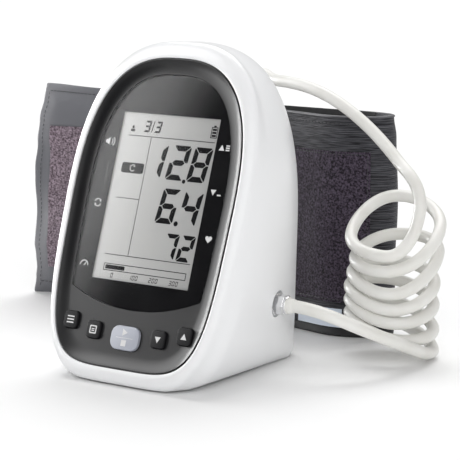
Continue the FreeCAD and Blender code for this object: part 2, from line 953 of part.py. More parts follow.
mask_view = block(
    "mask_view",
    S.view_width,
    S.view_height,
    S.mask_thickness + 2 * S.overrun,
    (0, 0),
    mask_low - S.overrun,
)
node("window_mask", cut("window_mask", mask_blank, [mask_view], FACE))

# Display module between the bezel and the main board

lcd_high = -(S.bezel_floor + S.lcd_play)
lcd_low = lcd_high - S.lcd_thickness
light_low = lcd_low - S.light_thickness
light_up = (S.lcd_height - S.light_height) / 2
node("lcd_glass", block("lcd_glass", S.lcd_width, S.lcd_height, S.lcd_thickness, (0, 0), lcd_low, FACE))
node(
    "lcd_backlight",
    block("lcd_backlight", S.lcd_width, S.light_height, S.light_thickness, (0, light_up), light_low, FACE),
)
holder_inner = (S.lcd_width + 2 * S.lcd_gap, S.lcd_height + 2 * S.lcd_gap)
holder_height = S.board_depth + lcd_high
holder_blank = block(
    "holder_blank",
    holder_inner[0] + 2 * S.holder_wall,
    holder_inner[1] + 2 * S.holder_wall,
    holder_height,
    (0, 0),
    -S.board_depth,
)
holder_room = block(
    "holder_room",
    holder_inner[0],
    holder_inner[1],
    holder_height + 2 * S.overrun,
    (0, 0),
    -(S.board_depth + S.overrun),
)
holder_rails = [
    block(
        f"holder_rail_{number}",
        S.holder_rail,
        S.light_height,
        S.board_depth + light_low,
        (side * (holder_inner[0] - S.holder_rail) / 2, light_up),
        -S.board_depth,
    )
    for number, side in enumerate((-1, 1))
]
holder_frame = cut("holder_frame", holder_blank, [holder_room])
node("lcd_holder", fuse("lcd_holder", [holder_frame] + holder_rails, FACE))
zebra_y = S.zebra_inset - S.lcd_height / 2
zebra_height = S.board_depth + lcd_low
node(
    "zebra_strip",
    block("zebra_strip", S.zebra_length, S.zebra_width, zebra_height, (0, zebra_y), -S.board_depth, FACE),
)

# Circuit boards and their screws

board_low = -(S.board_depth + S.board_thickness)


def drilled_board(name, width, height, middle, depth, holes):
    low = -(depth + S.board_thickness)
    sheet_blank = block(name + "_blank", width, height, S.board_thickness, middle, low)
    drills = [
        rod(
            f"{name}_drill_{number}",
            S.small_screw_radius + S.seat_gap,
            S.board_thickness + 2 * S.overrun,
            (x, y, low - S.overrun),
        )
        for number, (x, y, _, _) in enumerate(holes)
    ]
    return cut(name, sheet_blank, drills, FACE)


node(
    "main_board",
    drilled_board("main_board", S.board_width, S.board_height, (0, 0), S.board_depth, BOARD_POSTS),
)
node(
    "key_board",
    drilled_board(
        "key_board", S.key_board_width, S.key_board_height, (0, S.key_board_y), S.key_depth, KEY_POSTS
    ),
)
board_screws = []
for number, (x, y, depth, _) in enumerate(BOARD_POSTS + KEY_POSTS):
    seat = -(depth + S.board_thickness)
    head = rod(
        f"board_screw_head_{number}",
        S.small_screw_head_radius,
        S.small_screw_head_height,
        (x, y, seat - S.small_screw_head_height),
    )
    shank = rod(f"board_screw_shank_{number}", S.small_screw_radius, S.small_screw_length, (x, y, seat))
    board_screws.append(fuse(f"board_screw_{number}", [head, shank]))
node("board_screws", group("board_screws", board_screws, FACE))

# Push buttons and the switches they press

flange_high = -(S.bezel_floor + S.button_play)
for name, x, y in BUTTONS:
    width, height, corner = button_size(name)
    button = new_body(name, face_place(x, y, 0))
    cap = new_sketch(button, name + "_cap", flange_high)
    draw_rounded(cap, "cap", width, height, corner)
    cap_pad = pad(button, cap, S.button_proud + S.bezel_floor + S.button_play - S.dish_depth)
    crown = max(cap_pad.Shape.Faces, key=lambda face: face.CenterOfMass.z)
    rim_edges = [
        f"Edge{number}"
        for number, edge in enumerate(cap_pad.Shape.Edges, start=1)
        if any(edge.isSame(other) for other in crown.Edges)
    ]
    rounding = button.newObject("PartDesign::Fillet", name + "_rounding")
    rounding.Base = (cap_pad, rim_edges)
    rounding.setExpression("Radius", S.button_edge.text)
    doc.recompute()
    flange = new_sketch(button, name + "_flange", flange_high)
    draw_rounded(
        flange, "flange", width + 2 * S.button_flange, height + 2 * S.button_flange, corner + S.button_flange
    )
    pad(button, flange, S.button_flange_thickness, downward=True)
    stem = new_sketch(button, name + "_stem", flange_high - S.button_flange_thickness)
    draw_circle(stem, "stem", S.button_stem_radius)
    pad(button, stem, S.button_stem_length, downward=True)
    node(name, button)
switches = []
for name, x, y in BUTTONS:
    case = block(name + "_switch_case", S.switch_size, S.switch_size, S.switch_height, (x, y), -S.key_depth)
    well = rod(
        name + "_switch_well",
        S.button_stem_radius + S.switch_play,
        S.switch_height + 2 * S.overrun,
        (x, y, -(S.key_depth + S.overrun)),
    )
    switches.append(cut(name + "_switch", case, [well]))
node("key_switches", group("key_switches", switches, FACE))

# Air pump standing in a cup on the base plate

pump_floor = plate_high + S.cup_floor
cup_blank = rod("cup_blank", S.pump_head_radius + S.seat_gap + S.cup_wall, S.cup_height, (0, S.pump_y, plate_high))
cup_room = rod("cup_room", S.pump_head_radius + S.seat_gap, S.cup_height, (0, S.pump_y, pump_floor))
node("pump_cup", cut("pump_cup", cup_blank, [cup_room]))
pump_head = rod("pump_head_can", S.pump_head_radius, S.pump_head_height, (0, S.pump_y, pump_floor))
pump_nozzle_z = pump_floor + S.pump_nozzle_height
pump_nozzle = rod(
    "pump_nozzle", S.nozzle_radius, S.pump_head_radius + S.nozzle_length, (0, S.pump_y, pump_nozzle_z), X_AXIS
)
node("pump_head", fuse("pump_head", [pump_head, pump_nozzle]))
motor_floor = pump_floor + S.pump_head_height
motor_can = rod("motor_can", S.motor_radius, S.motor_height, (0, S.pump_y, motor_floor))
motor_end = rod(
    "motor_end", S.motor_shaft_radius, S.motor_height + S.motor_shaft_length, (0, S.pump_y, motor_floor)
)
node("pump_motor", fuse("pump_motor", [motor_can, motor_end]))

# Valve and pressure sensor on the back of the main board

valve_low = board_low - S.valve_depth
valve_case = block(
    "valve_case", S.valve_width, S.valve_height, S.valve_depth, (S.valve_x, S.valve_y), valve_low
)
valve_mid = board_low - S.valve_depth / 2
valve_foot = S.valve_y - S.valve_height / 2
valve_nozzle = rod(
    "valve_nozzle", S.nozzle_radius, S.nozzle_length, (S.valve_x, valve_foot - S.nozzle_length, valve_mid), Y_AXIS
)
node("release_valve", fuse("release_valve", [valve_case, valve_nozzle], FACE))
sensor_case = block(
    "sensor_case", S.sensor_size, S.sensor_size, S.sensor_depth, (S.sensor_x, S.sensor_y), board_low - S.sensor_depth
)
sensor_mid = board_low - S.sensor_depth / 2
sensor_foot = S.sensor_y - S.sensor_size / 2
sensor_nozzle = rod(
    "sensor_nozzle",
    S.nozzle_radius,
    S.nozzle_length,
    (S.sensor_x, sensor_foot - S.nozzle_length, sensor_mid),
    Y_AXIS,
)
node("pressure_sensor", fuse("pressure_sensor", [sensor_case, sensor_nozzle], FACE))

# Air socket, its nut and the hose plug, all on one line along X

socket_inner = S.socket_floor_x - S.socket_boss_depth
socket_line = (S.socket_y, S.socket_z)
nut_out = S.socket_floor_x + S.nut_thickness


def along_x(name, radius, start, end):
    return rod(name, radius, end - start, (start,) + socket_line, X_AXIS)


socket_body = fuse(
    "socket_body",
    [
        along_x(
            "socket_tail",
            S.nozzle_radius + S.tube_radius - S.socket_bore,
            socket_inner - S.socket_flange_thickness - S.socket_tail_length,
            socket_inner,
        ),
        along_x("socket_flange", S.socket_flange_radius, socket_inner - S.socket_flange_thickness, socket_inner),
        along_x("socket_thread", S.socket_thread_radius, socket_inner - S.socket_flange_thickness, nut_out),
        along_x("socket_stub", S.socket_stub_radius, socket_inner, nut_out + S.socket_stub_length),
    ],
)
socket_way = along_x(
    "socket_way",
    S.socket_bore,
    socket_inner - S.socket_flange_thickness - S.socket_tail_length - S.overrun,
    nut_out + S.socket_stub_length + S.overrun,
)
node("air_socket", cut("air_socket", socket_body, [socket_way]))

nut_frame = FreeCAD.Placement(
    vector(S.socket_floor_x, *socket_line), FreeCAD.Rotation(Z_AXIS, X_AXIS)
)
nut = new_body("socket_nut", nut_frame)
nut_face = new_sketch(nut, "nut_face")
nut_corner = float(S.nut_width) / math.sqrt(3)
nut_points = [
    vector(nut_corner * math.cos(math.radians(60 * k)), nut_corner * math.sin(math.radians(60 * k)), 0)
    for k in range(6)
]
for k in range(6):
    nut_face.addGeometry(Part.LineSegment(nut_points[k], nut_points[(k + 1) % 6]))
ring_line = nut_face.addGeometry(Part.Circle(vector(0, 0, 0), Z_AXIS, nut_corner), True)
nut_face.addConstraint(Sketcher.Constraint("Coincident", ring_line, 3, -1, 1))
for k in range(6):
    nut_face.addConstraint(Sketcher.Constraint("Coincident", k, 2, (k + 1) % 6, 1))
    nut_face.addConstraint(Sketcher.Constraint("PointOnObject", k, 1, ring_line))
for k in range(5):
    nut_face.addConstraint(Sketcher.Constraint("Equal", k, k + 1))
nut_face.addConstraint(Sketcher.Constraint("PointOnObject", 0, 1, -1))
bound(nut_face, "nut_corner", "Radius", (ring_line,), S.nut_width / math.sqrt(3))
pad(nut, nut_face, S.nut_thickness)
nut_bore = new_sketch(nut, "nut_bore")
draw_circle(nut_bore, "nut_bore", S.socket_thread_radius + S.screw_gap)
pocket(nut, nut_bore, S.nut_thickness, upward=True)
node("socket_nut", nut)

plug_start = nut_out + S.seat_gap
plug_end = plug_start + S.plug_length
plug_body = fuse(
    "plug_body",
    [
        along_x("plug_barrel", S.plug_radius, plug_start, plug_end),
        along_x("plug_collar", S.plug_collar_radius, plug_start, plug_start + S.plug_collar_length),
    ],
)
plug_bore = along_x(
    "plug_bore",
    S.socket_stub_radius + S.plug_gap,
    plug_start - S.overrun,
    nut_out + S.socket_stub_length + S.plug_gap,
)
plug_way = along_x("plug_way", S.socket_bore, plug_start, plug_end + S.overrun)
node("hose_plug", cut("hose_plug", plug_body, [plug_bore, plug_way]))

# Tubes and hoses: straight runs joined by tangent arcs as large as the runs allow

ARC_SHARE = 0.45


def path_wire(points, label):
    """A wire through the points with a tangent arc at each one between the ends."""
    edges = []
    radii = []
    here = points[0]
    for before, corner, after in zip(points, points[1:], points[2:]):
        back = before - corner
        ahead = after - corner
        shorter = min(back.Length, ahead.Length)
        half_turn = (math.pi - back.getAngle(ahead)) / 2
        trim = ARC_SHARE * shorter
        radius = trim / math.tan(half_turn)
        radii.append(round(radius, 1))
        back.normalize()
        ahead.normalize()
        first = corner + back * trim
        last = corner + ahead * trim
        inward = back + ahead
        inward.normalize()
        top = corner + inward * (radius / math.cos(half_turn) - radius)
        edges.append(Part.LineSegment(here, first).toShape())
        edges.append(Part.Arc(first, top, last).toShape())
        here = last
    edges.append(Part.LineSegment(here, points[-1]).toShape())
    print(label, "radii", radii)
    return Part.Wire(edges)


def tube_shape(wire, radius, label):
    """A round tube along a wire, with its volume compared with section times length."""
    start = wire.Edges[0].valueAt(wire.Edges[0].FirstParameter)
    heading = wire.Edges[0].tangentAt(wire.Edges[0].FirstParameter)
    disc = Part.Wire([Part.makeCircle(float(radius), start, heading)])
    tube = wire.makePipeShell([disc], True, False)
    due = math.pi * float(radius) ** 2 * wire.Length
    print(label, "length", round(wire.Length, 1), "volume share", round(tube.Volume / due, 4))
    return tube


tee_middle = vector(S.tee_x, S.socket_y, S.socket_z)
tee_arm = float(S.tee_size / 2 + S.nozzle_length)
tee_parts = [block("tee_block", S.tee_size, S.tee_size, S.tee_size, (S.tee_x, S.socket_y), S.socket_z - S.tee_size / 2)]
for number, arm in enumerate((X_AXIS, -X_AXIS, Z_AXIS, -Z_AXIS)):
    tee_parts.append(rod(f"tee_arm_{number}", S.nozzle_radius, S.tee_size / 2 + S.nozzle_length, tee_middle, arm))
node("air_tee", fuse("air_tee", tee_parts))

face_up = FACE.Rotation.multVec(Y_AXIS)
valve_tip = FACE.multVec(vector(S.valve_x, valve_foot - S.nozzle_length, valve_mid))
sensor_tip = FACE.multVec(vector(S.sensor_x, sensor_foot - S.nozzle_length, sensor_mid))
socket_tip = vector(socket_inner - S.socket_flange_thickness - S.socket_tail_length, *socket_line)
pump_tip = vector(S.pump_head_radius + S.nozzle_length, S.pump_y, pump_nozzle_z)
grip = float(S.tube_grip)
lead_in = 1.5 * float(S.nozzle_length)


def tube_between(name, start, start_way, end, end_way):
    """A soft tube pushed over two nozzles that point towards each other's side."""
    points = [
        start - start_way * grip,
        start + start_way * lead_in,
        end + end_way * lead_in,
        end - end_way * grip,
    ]
    middle = (points[1] + points[2]) * 0.5
    points.insert(2, middle + (start_way + end_way) * (lead_in / 4))
    wire = path_wire(points, name)
    return solid(name, tube_shape(wire, S.tube_radius, name))


raw_tubes = [
    tube_between("valve_tube", tee_middle - X_AXIS * tee_arm, -X_AXIS, valve_tip, -face_up),
    tube_between("sensor_tube", tee_middle + Z_AXIS * tee_arm, Z_AXIS, sensor_tip, -face_up),
    tube_between("pump_tube", tee_middle - Z_AXIS * tee_arm, -Z_AXIS, pump_tip, X_AXIS),
]
tube_bores = [
    nodes[name] for name in ("air_tee", "release_valve", "pressure_sensor", "pump_head")
]
node("inner_tubes", group("inner_tubes", [cut(f"bored_{tube.Name}", tube, tube_bores) for tube in raw_tubes]))
socket_link = rod(
    "socket_link",
    S.tube_radius + S.nozzle_radius,
    socket_inner - S.socket_flange_thickness - (S.tee_x + S.tee_size / 2),
    (S.tee_x + S.tee_size / 2,) + socket_line,
    X_AXIS,
)
node("socket_tube", cut("socket_tube", socket_link, [nodes["air_tee"], nodes["air_socket"]]))

# Air hose: a lead from the plug, a loose coil, and a rise to the cuff

COIL_FIRST, COIL_LAST = -0.08, 5.765
COIL_STEPS = 4
DRAW_FROM_TURN = 3.0
SWING_TURNS = 2.4
TAIL_FROM_TURN = 5.56
facing = math.radians(float(S.coil_facing))
coil_right = vector(math.cos(facing), math.sin(facing), 0)
coil_back = vector(-math.sin(facing), math.cos(facing), 0)


def coil_point(turn):
    """A point of the coil: packed on its high side, fanned open on its low side."""
    angle = 2 * math.pi * turn
    late = max(turn - DRAW_FROM_TURN, 0)
    radius = float(S.coil_radius) - float(S.coil_draw_in) * late
    low = float(S.coil_low) + float(S.coil_low_rise) * turn
    high = float(S.coil_high) + float(S.coil_high_rise) * turn
    swing = float(S.coil_swing) * min(late / SWING_TURNS, 1)
    height = (low + high) / 2 + (low - high) / 2 * math.cos(angle) + swing * math.sin(angle)
    height += float(S.coil_tail_rise) * max(turn - TAIL_FROM_TURN, 0) ** 2
    across = radius * math.cos(angle) + float(S.coil_drift) * late
    along = radius * math.sin(angle)
    return vector(S.coil_x, S.coil_y, height) + coil_right * across + coil_back * along


def coil_way(turn):
    step = 1e-4
    way = coil_point(turn + step) - coil_point(turn - step)
    way.normalize()
    return way


def biarc(start, start_way, end, end_way):
    """Two tangent arcs from one point and heading to another."""
    chord = end - start
    both = start_way + end_way
    a = 2 * (1 - start_way.dot(end_way))
    b = 2 * chord.dot(both)
    c = -chord.dot(chord)
    reach_out = (-b + math.sqrt(b * b - 4 * a * c)) / (2 * a)
    one = start + start_way * reach_out
    two = end - end_way * reach_out
    meet = (one + two) * 0.5
    arcs = []
    for first, way, last in ((start, start_way, meet), (end, end_way * -1, meet)):
        line = last - first
        swing = way.dot(line)
        normal = line - way * swing
        normal.normalize()
        size = line.dot(line) / (2 * line.dot(normal))
        middle = first + normal * size
        half = (first + last) * 0.5 - middle
        half.normalize()
        arcs.append((first, middle + half * size, last))
    (a1, a2, a3), (b1, b2, b3) = arcs
    return [Part.Arc(a1, a2, a3).toShape(), Part.Arc(b3, b2, b1).toShape()]


hose_radius = S.hose_diameter / 2
coil_count = round((COIL_LAST - COIL_FIRST) * COIL_STEPS)


def coil_marks(count):
    """Evenly spaced turns from one end of the coil to the other."""
    return [COIL_FIRST + (COIL_LAST - COIL_FIRST) * step / count for step in range(count + 1)]


coil_edges = []
for turn, later in zip(coil_marks(coil_count), coil_marks(coil_count)[1:]):
    coil_edges += biarc(coil_point(turn), coil_way(turn), coil_point(later), coil_way(later))
coil_start = coil_point(COIL_FIRST) - coil_way(COIL_FIRST) * float(S.hose_end)
coil_end = coil_point(COIL_LAST) + coil_way(COIL_LAST) * float(S.hose_end)
coil_edges.insert(0, Part.LineSegment(coil_start, coil_point(COIL_FIRST)).toShape())
coil_edges.append(Part.LineSegment(coil_point(COIL_LAST), coil_end).toShape())
coil_wire = Part.Wire(coil_edges)
node("hose_coil", solid("hose_coil", tube_shape(coil_wire, hose_radius, "hose_coil")))

SAMPLES_PER_STEP = 15
samples = [coil_point(turn) for turn in coil_marks(coil_count * SAMPLES_PER_STEP)]
half_turn_on = COIL_STEPS * SAMPLES_PER_STEP // 2
least = min((one - two).Length for k, one in enumerate(samples) for two in samples[k + half_turn_on :])
print("hose_coil least gap to itself", round(least - float(S.hose_diameter), 2))
print("hose_coil lowest", round(min(point.z for point in samples) - float(hose_radius), 2))

plug_tip = vector(plug_end, *socket_line)
LEAD_ROUTE = [
    (88.5, 14, 46),
    (102, 19.5, 43.5),
    (112.5, 31, 37),
    (118.8, 46.5, 27.5),
    (122.8, 64, 16.5),
]
RISE_ROUTE = [
    (118.6, 98.4, 108.9),
    (116.4, 103.2, 117.6),
    (110.2, 107.9, 126.5),
    (100.6, 112, 134.8),
    (87.2, 114.6, 142.6),
    (71.5, 116, 150.4),
    (53.5, 116.8, 158),
    (33, 117.8, 165.2),
    (11.5, 119.5, 171.5),
    (-6.5, 122.4, 177),
    (-22, 127, 180),
    (-34.5, 132.3, 179.8),
    (-43.6, 137.6, 175.5),
    (-48.75, 141.5, 166.5),
]
lead_points = [plug_tip] + [vector(*point) for point in LEAD_ROUTE]
lead_points += [coil_start - coil_way(COIL_FIRST) * (1.7 * float(S.hose_end)), coil_start]
node("hose_lead", solid("hose_lead", tube_shape(path_wire(lead_points, "hose_lead"), hose_radius, "hose_lead")))

# Arm cuff: a folded band that stands on its long edge behind the monitor.
# Its line seen from above, in shares of its height, from the inner end round the fold.
CUFF_LINE_SHARES = (
    (-0.69, 0),
    (-0.44, -0.03),
    (-0.21, -0.03),
    (-0.01, -0.06),
    (0.16, -0.10),
    (0.29, -0.06),
    (0.385, 0.005),
    (0.38, 0.10),
    (0.28, 0.14),
    (0.01, 0.133),
    (-0.31, 0.115),
    (-0.65, 0.093),
    (-0.985, 0.053),
    (-1.29, -0.02),
    (-1.57, -0.10),
)
cuff_line = [vector(x * S.cuff_height, S.cuff_y + y * S.cuff_height, 0) for x, y in CUFF_LINE_SHARES]


def stretch(first, last):
    """Part of the cuff's line between two places counted in its points."""
    inner = [point for k, point in enumerate(cuff_line) if first < k < last]
    ends = []
    for place in (first, last):
        k = min(int(place), len(cuff_line) - 2)
        ends.append(cuff_line[k] + (cuff_line[k + 1] - cuff_line[k]) * (place - k))
    return [ends[0]] + inner + [ends[1]]


def band_shape(points, thickness, low, high, label):
    """A band of cloth on edge: the line thickened both ways and raised."""
    wire = path_wire([vector(point.x, point.y, low) for point in points], label)
    outline = wire.makeOffset2D(float(thickness) / 2, 0, False, False, False)
    return Part.Face(outline).extrude(vector(0, 0, float(high) - float(low)))


BLADDER_STRETCH = (0.5, 9)
LOOP_STRETCH = (2, 5)
HOOK_STRETCH = (12, 13.85)
LABEL_STRETCH = (3.3, 4.6)
bladder_room = S.bladder_thickness + 2 * S.bladder_gap
cuff_band = solid("cuff_band", band_shape(cuff_line, S.cuff_thickness, 0, S.cuff_height, "cuff_band"))
cuff_pocket = solid(
    "cuff_pocket",
    band_shape(
        stretch(*BLADDER_STRETCH),
        bladder_room,
        S.bladder_margin,
        S.cuff_height + S.overrun,
        "cuff_pocket",
    ),
)
node("cuff_cover", cut("cuff_cover", cuff_band, [cuff_pocket]))
bladder_high = S.cuff_height - S.bladder_top
node(
    "cuff_bladder",
    solid(
        "cuff_bladder",
        band_shape(
            stretch(*BLADDER_STRETCH),
            S.bladder_thickness,
            S.bladder_margin + S.bladder_gap,
            bladder_high,
            "cuff_bladder",
        ),
    ),
)


def patch(name, first, last, thickness, low, high):
    """A strip of cloth that lies on the near side of the cuff."""
    inner = S.cuff_thickness + 2 * S.patch_gap
    ring = band_shape(cuff_line, inner + 2 * thickness, low, high, name)
    ring = ring.cut(band_shape(cuff_line, inner, low, high, name + "_gap"))
    line = [vector(point.x, point.y, low) for point in stretch(first, last)]
    near = [vector(point.x, 0, low) for point in (line[-1], line[0])]
    region = Part.Face(Part.makePolygon(line + near + line[:1]))
    node(name, solid(name, ring.common(region.extrude(vector(0, 0, float(high) - float(low))))))


patch_high = S.cuff_height - S.patch_margin_top
label_high = S.label_low + S.label_height
patch("cuff_loop_patch", *LOOP_STRETCH, S.patch_thickness, S.patch_margin_low, patch_high)
patch("cuff_hook_patch", *HOOK_STRETCH, S.patch_thickness, S.patch_margin_low, patch_high)
patch("cuff_label", *LABEL_STRETCH, S.label_thickness, S.label_low, label_high)

# Air port on the bladder's top edge, and the hose that ends in it
port_place = (cuff_line[1] + cuff_line[2]) * 0.5
port_mouth = S.cuff_height + S.port_flange + S.port_cup_height
port_floor = S.cuff_height + S.port_floor
port_body = fuse(
    "port_body",
    [
        rod("port_flange", S.port_radius, S.port_flange, (port_place.x, port_place.y, S.cuff_height)),
        rod("port_cup", S.port_cup_radius, port_mouth - S.cuff_height, (port_place.x, port_place.y, S.cuff_height)),
        rod("port_neck", S.port_neck_radius, port_floor - bladder_high, (port_place.x, port_place.y, bladder_high)),
    ],
)
port_bore = rod(
    "port_bore",
    hose_radius + S.seat_gap,
    S.port_cup_height + S.overrun,
    (port_place.x, port_place.y, port_floor),
)
node("cuff_port", cut("cuff_port", port_body, [port_bore]))
rise_points = [coil_end, coil_end + coil_way(COIL_LAST) * (1.1 * float(S.hose_end))]
rise_points += [vector(*point) for point in RISE_ROUTE]
rise_points += [vector(port_place.x, port_place.y, port_floor)]
node("hose_rise", solid("hose_rise", tube_shape(path_wire(rise_points, "hose_rise"), hose_radius, "hose_rise")))

# Checks, then one file for each piece

doc.recompute()
for thing in doc.Objects:
    if "Invalid" in thing.State or "Error" in thing.State:
        raise RuntimeError(f"{thing.Label} failed: {thing.State}")
for name, piece in nodes.items():
    if piece.Shape.isNull() or not piece.Shape.isValid() or not piece.Shape.Solids:
        raise RuntimeError(f"{name} has no valid solid")
os.makedirs("parts", exist_ok=True)
for name, piece in nodes.items():
    piece.Shape.exportStep(f"parts/{name}.step")
print(len(nodes), "pieces written")
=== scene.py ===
import math

import bmesh
import bpy
from mathutils import Matrix, Vector, noise


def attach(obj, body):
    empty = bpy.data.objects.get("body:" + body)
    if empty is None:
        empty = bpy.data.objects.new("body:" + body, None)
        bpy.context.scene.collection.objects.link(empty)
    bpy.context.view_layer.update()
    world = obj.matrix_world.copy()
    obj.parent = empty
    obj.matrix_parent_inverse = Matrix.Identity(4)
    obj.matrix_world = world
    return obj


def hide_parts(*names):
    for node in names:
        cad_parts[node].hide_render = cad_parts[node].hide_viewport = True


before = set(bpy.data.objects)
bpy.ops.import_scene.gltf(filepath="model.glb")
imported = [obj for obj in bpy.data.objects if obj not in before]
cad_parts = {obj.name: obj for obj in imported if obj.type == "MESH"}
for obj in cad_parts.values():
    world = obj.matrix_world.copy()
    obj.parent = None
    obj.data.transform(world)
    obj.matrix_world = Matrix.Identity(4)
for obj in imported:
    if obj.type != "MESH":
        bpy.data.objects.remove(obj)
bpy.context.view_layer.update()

# Camera. A long lens looks at the monitor from its right and a little from
# above, with the horizon level.
camera_turn = math.radians(36)
camera_drop = math.radians(9.64)
bpy.ops.object.camera_add(
    location=(0.8223, -1.0819, 0.3190),
    rotation=(math.radians(90) - camera_drop, 0, camera_turn),
)
camera = bpy.context.object
camera.data.lens = 171.3
camera.data.sensor_width = 36
bpy.context.scene.camera = camera
bpy.context.scene.view_settings.view_transform = "Standard"


# Studio. A white table top in an even white room, with a broad soft lamp from
# the upper left rear, a low one from the right front, and two cards that only
# gloss sees.
def new_material(name, colour, roughness):
    """A finish with its plain values set on the shader, and its node tree."""
    material = bpy.data.materials.new(name)
    material.use_nodes = True
    material.diffuse_color = (*colour, 1)
    shader = material.node_tree.nodes["Principled BSDF"]
    shader.inputs["Base Color"].default_value = (*colour, 1)
    shader.inputs["Roughness"].default_value = roughness
    return material, material.node_tree, shader


bpy.ops.mesh.primitive_plane_add(size=14)
table_top = bpy.context.object
table_top.name = "table_top"
table_white, tree, shader = new_material("table_white", (0.93, 0.93, 0.93), 0.9)
shader.inputs["Specular IOR Level"].default_value = 0
table_top.data.materials.append(table_white)

world = bpy.data.worlds.new("studio")
bpy.context.scene.world = world
world.use_nodes = True
room = world.node_tree.nodes["Background"]
room.inputs["Color"].default_value = (1, 1, 1, 1)
room.inputs["Strength"].default_value = 0.44

for name, strength, turn, height, softness in (
    ("rear_left_lamp", 2.05, -145, 61, 48),
    ("right_front_lamp", 1.12, 42, 20, 60),
):
    bpy.ops.object.light_add(type="SUN", rotation=(math.radians(90 - height), 0, math.radians(turn)))
    lamp = bpy.context.object
    lamp.name = name
    lamp.data.energy = strength
    lamp.data.angle = math.radians(softness)

card_slope = (1, 0.10, 0)
for name, middle, aim, size, measure, start, end, first, last in (
    ("front_card", (-0.87, -1.13, 0.66), (0, -0.04, 0.12), 2.4, "DOT_PRODUCT", 0.014, 0.060, 0.14, 5.6),
    ("left_card", (-1.35, 0.05, 0.30), (0, -0.04, 0.10), 1.0, "LENGTH", 0.20, 0.48, 22.0, 0.3),
):
    bpy.ops.mesh.primitive_plane_add(size=1)
    card = bpy.context.object
    card.name = name
    towards = (Vector(aim) - Vector(middle)).to_track_quat("Z", "Y")
    card.matrix_world = Matrix.LocRotScale(Vector(middle), towards, Vector((size, size, 1)))
    card.visible_camera = card.visible_diffuse = card.visible_shadow = False
    card.visible_transmission = card.visible_volume_scatter = False
    glow = bpy.data.materials.new(name)
    glow.use_nodes = True
    tree = glow.node_tree
    tree.nodes.remove(tree.nodes["Principled BSDF"])
    lit = tree.nodes.new("ShaderNodeEmission")
    place = tree.nodes.new("ShaderNodeTexCoord")
    reach = tree.nodes.new("ShaderNodeVectorMath")
    reach.operation = measure
    reach.inputs[1].default_value = card_slope
    fade = tree.nodes.new("ShaderNodeMapRange")
    fade.interpolation_type = "SMOOTHSTEP"
    fade.inputs["From Min"].default_value = start
    fade.inputs["From Max"].default_value = end
    fade.inputs["To Min"].default_value = first
    fade.inputs["To Max"].default_value = last
    tree.links.new(place.outputs["Object"], reach.inputs[0])
    tree.links.new(reach.outputs["Value"], fade.inputs["Value"])
    tree.links.new(fade.outputs["Result"], lit.inputs["Strength"])
    tree.links.new(lit.outputs["Emission"], tree.nodes["Material Output"].inputs["Surface"])
    card.data.materials.append(glow)

# Casing. One glossy white ABS moulding: an egg-shaped mouth that leans back, a
# full rounded rim, sides that draw in to the rear, and a flat foot.
face_lean = math.radians(18.9)
face_height = 0.1129
face_y = -0.0327
face = Matrix.Translation((0, face_y, face_height)) @ Matrix.Rotation(math.radians(90) - face_lean, 4, "X")
panel_half, panel_top, panel_bottom = 0.0630, 0.0890, 0.1078
panel_top_power, panel_low_power, panel_taper = 2.65, 4.6, 0.04
rim_side, rim_top, rim_bottom, rim_depth = 0.0074, 0.01175, 0.0125, 0.0060
rim_top_growth, rim_softening = 1.12, 1.1
foot_front, foot_rear, rear_bulge = -0.0650, 0.0687, 0.0080
foot_half, foot_height = 0.0413, 0.0008
foot_round, foot_tuck = 0.0070, 0.0040
crown_y, crown_z, crown_radius = 0.0131, 0.1401, 0.0658
body_middle, body_length = -0.020, 0.1052
body_top_power, body_low_power, widest_foot = 2.23, 4.2, 0.97
shoulder_low, shoulder_high = 0.030, 0.090
tilt_power, waist_fall, waist_draw = 1.3, 0.17, 0.12
rear_swings = (14, 28, 41, 53, 63, 71)
foot_cuts = (0.06, 0.16, 0.32, 0.55, 1)
ledge_depth = 0.0056
casing_wall = 0.0025
egg_count = 112


def egg(half, top, bottom, top_power, bottom_power, taper=0.0):
    """An egg outline made of two superellipse halves, from its lowest point round."""
    points = []
    for step in range(egg_count):
        angle = 2 * math.pi * step / egg_count - math.pi / 2
        cosine, sine = math.cos(angle), math.sin(angle)
        power = top_power if sine >= 0 else bottom_power
        across = half * math.copysign(abs(cosine) ** (2 / power), cosine)
        along = math.copysign(abs(sine) ** (2 / power), sine)
        if along < 0:
            across *= 1 + taper * along
        points.append((across, along * (top if along > 0 else bottom)))
    return points


def panel_egg(inset):
    """The panel's flat outline, drawn in by an inset."""
    half, top, bottom = panel_half - inset, panel_top - inset, panel_bottom - inset
    return egg(half, top, bottom, panel_top_power, panel_low_power, panel_taper)


def panel_ring(inset, depth):
    """The panel's outline drawn in by an inset, at a depth of the leaning face."""
    return [face @ Vector((x, y, depth)) for x, y in panel_egg(inset)]


def rim_ring(swell):
    """A ring of the rounded rim; swell turns from the mouth's edge to the side."""
    side = math.sin(swell)
    half = panel_half + side * rim_side
    top = panel_top + side**rim_top_growth * rim_top
    bottom = panel_bottom + side * rim_bottom
    outline = egg(half, top, bottom, panel_top_power, panel_low_power - rim_softening * side, panel_taper)
    return [face @ Vector((x, y, -rim_depth * (1 - math.cos(swell)))) for x, y in outline]


def body_ring(y, tilt, waist, half):
    """An upright ring through the casing, standing on the table at y."""
    rise = Vector((0, math.sin(tilt), math.cos(tilt)))
    to_crown = Vector((0, crown_y - y, crown_z))
    along = to_crown.dot(rise)
    crown = along + math.sqrt(crown_radius**2 - to_crown.length_squared + along**2)
    middle = waist / rise.z
    spread = min(foot_half / half, widest_foot)
    depth = middle / (1 - spread**body_low_power) ** (1 / body_low_power)
    foot = Vector((0, y, 0))
    outline = egg(half, crown - middle, depth, body_top_power, body_low_power)
    return [foot + rise * (v + middle) + Vector((x, 0, 0)) for x, v in outline]


def body_half(y):
    """Half the casing's width at its widest line."""
    run = max(y - body_middle, 0) / body_length
    return (panel_half + rim_side) * math.sqrt(1 - run**2)


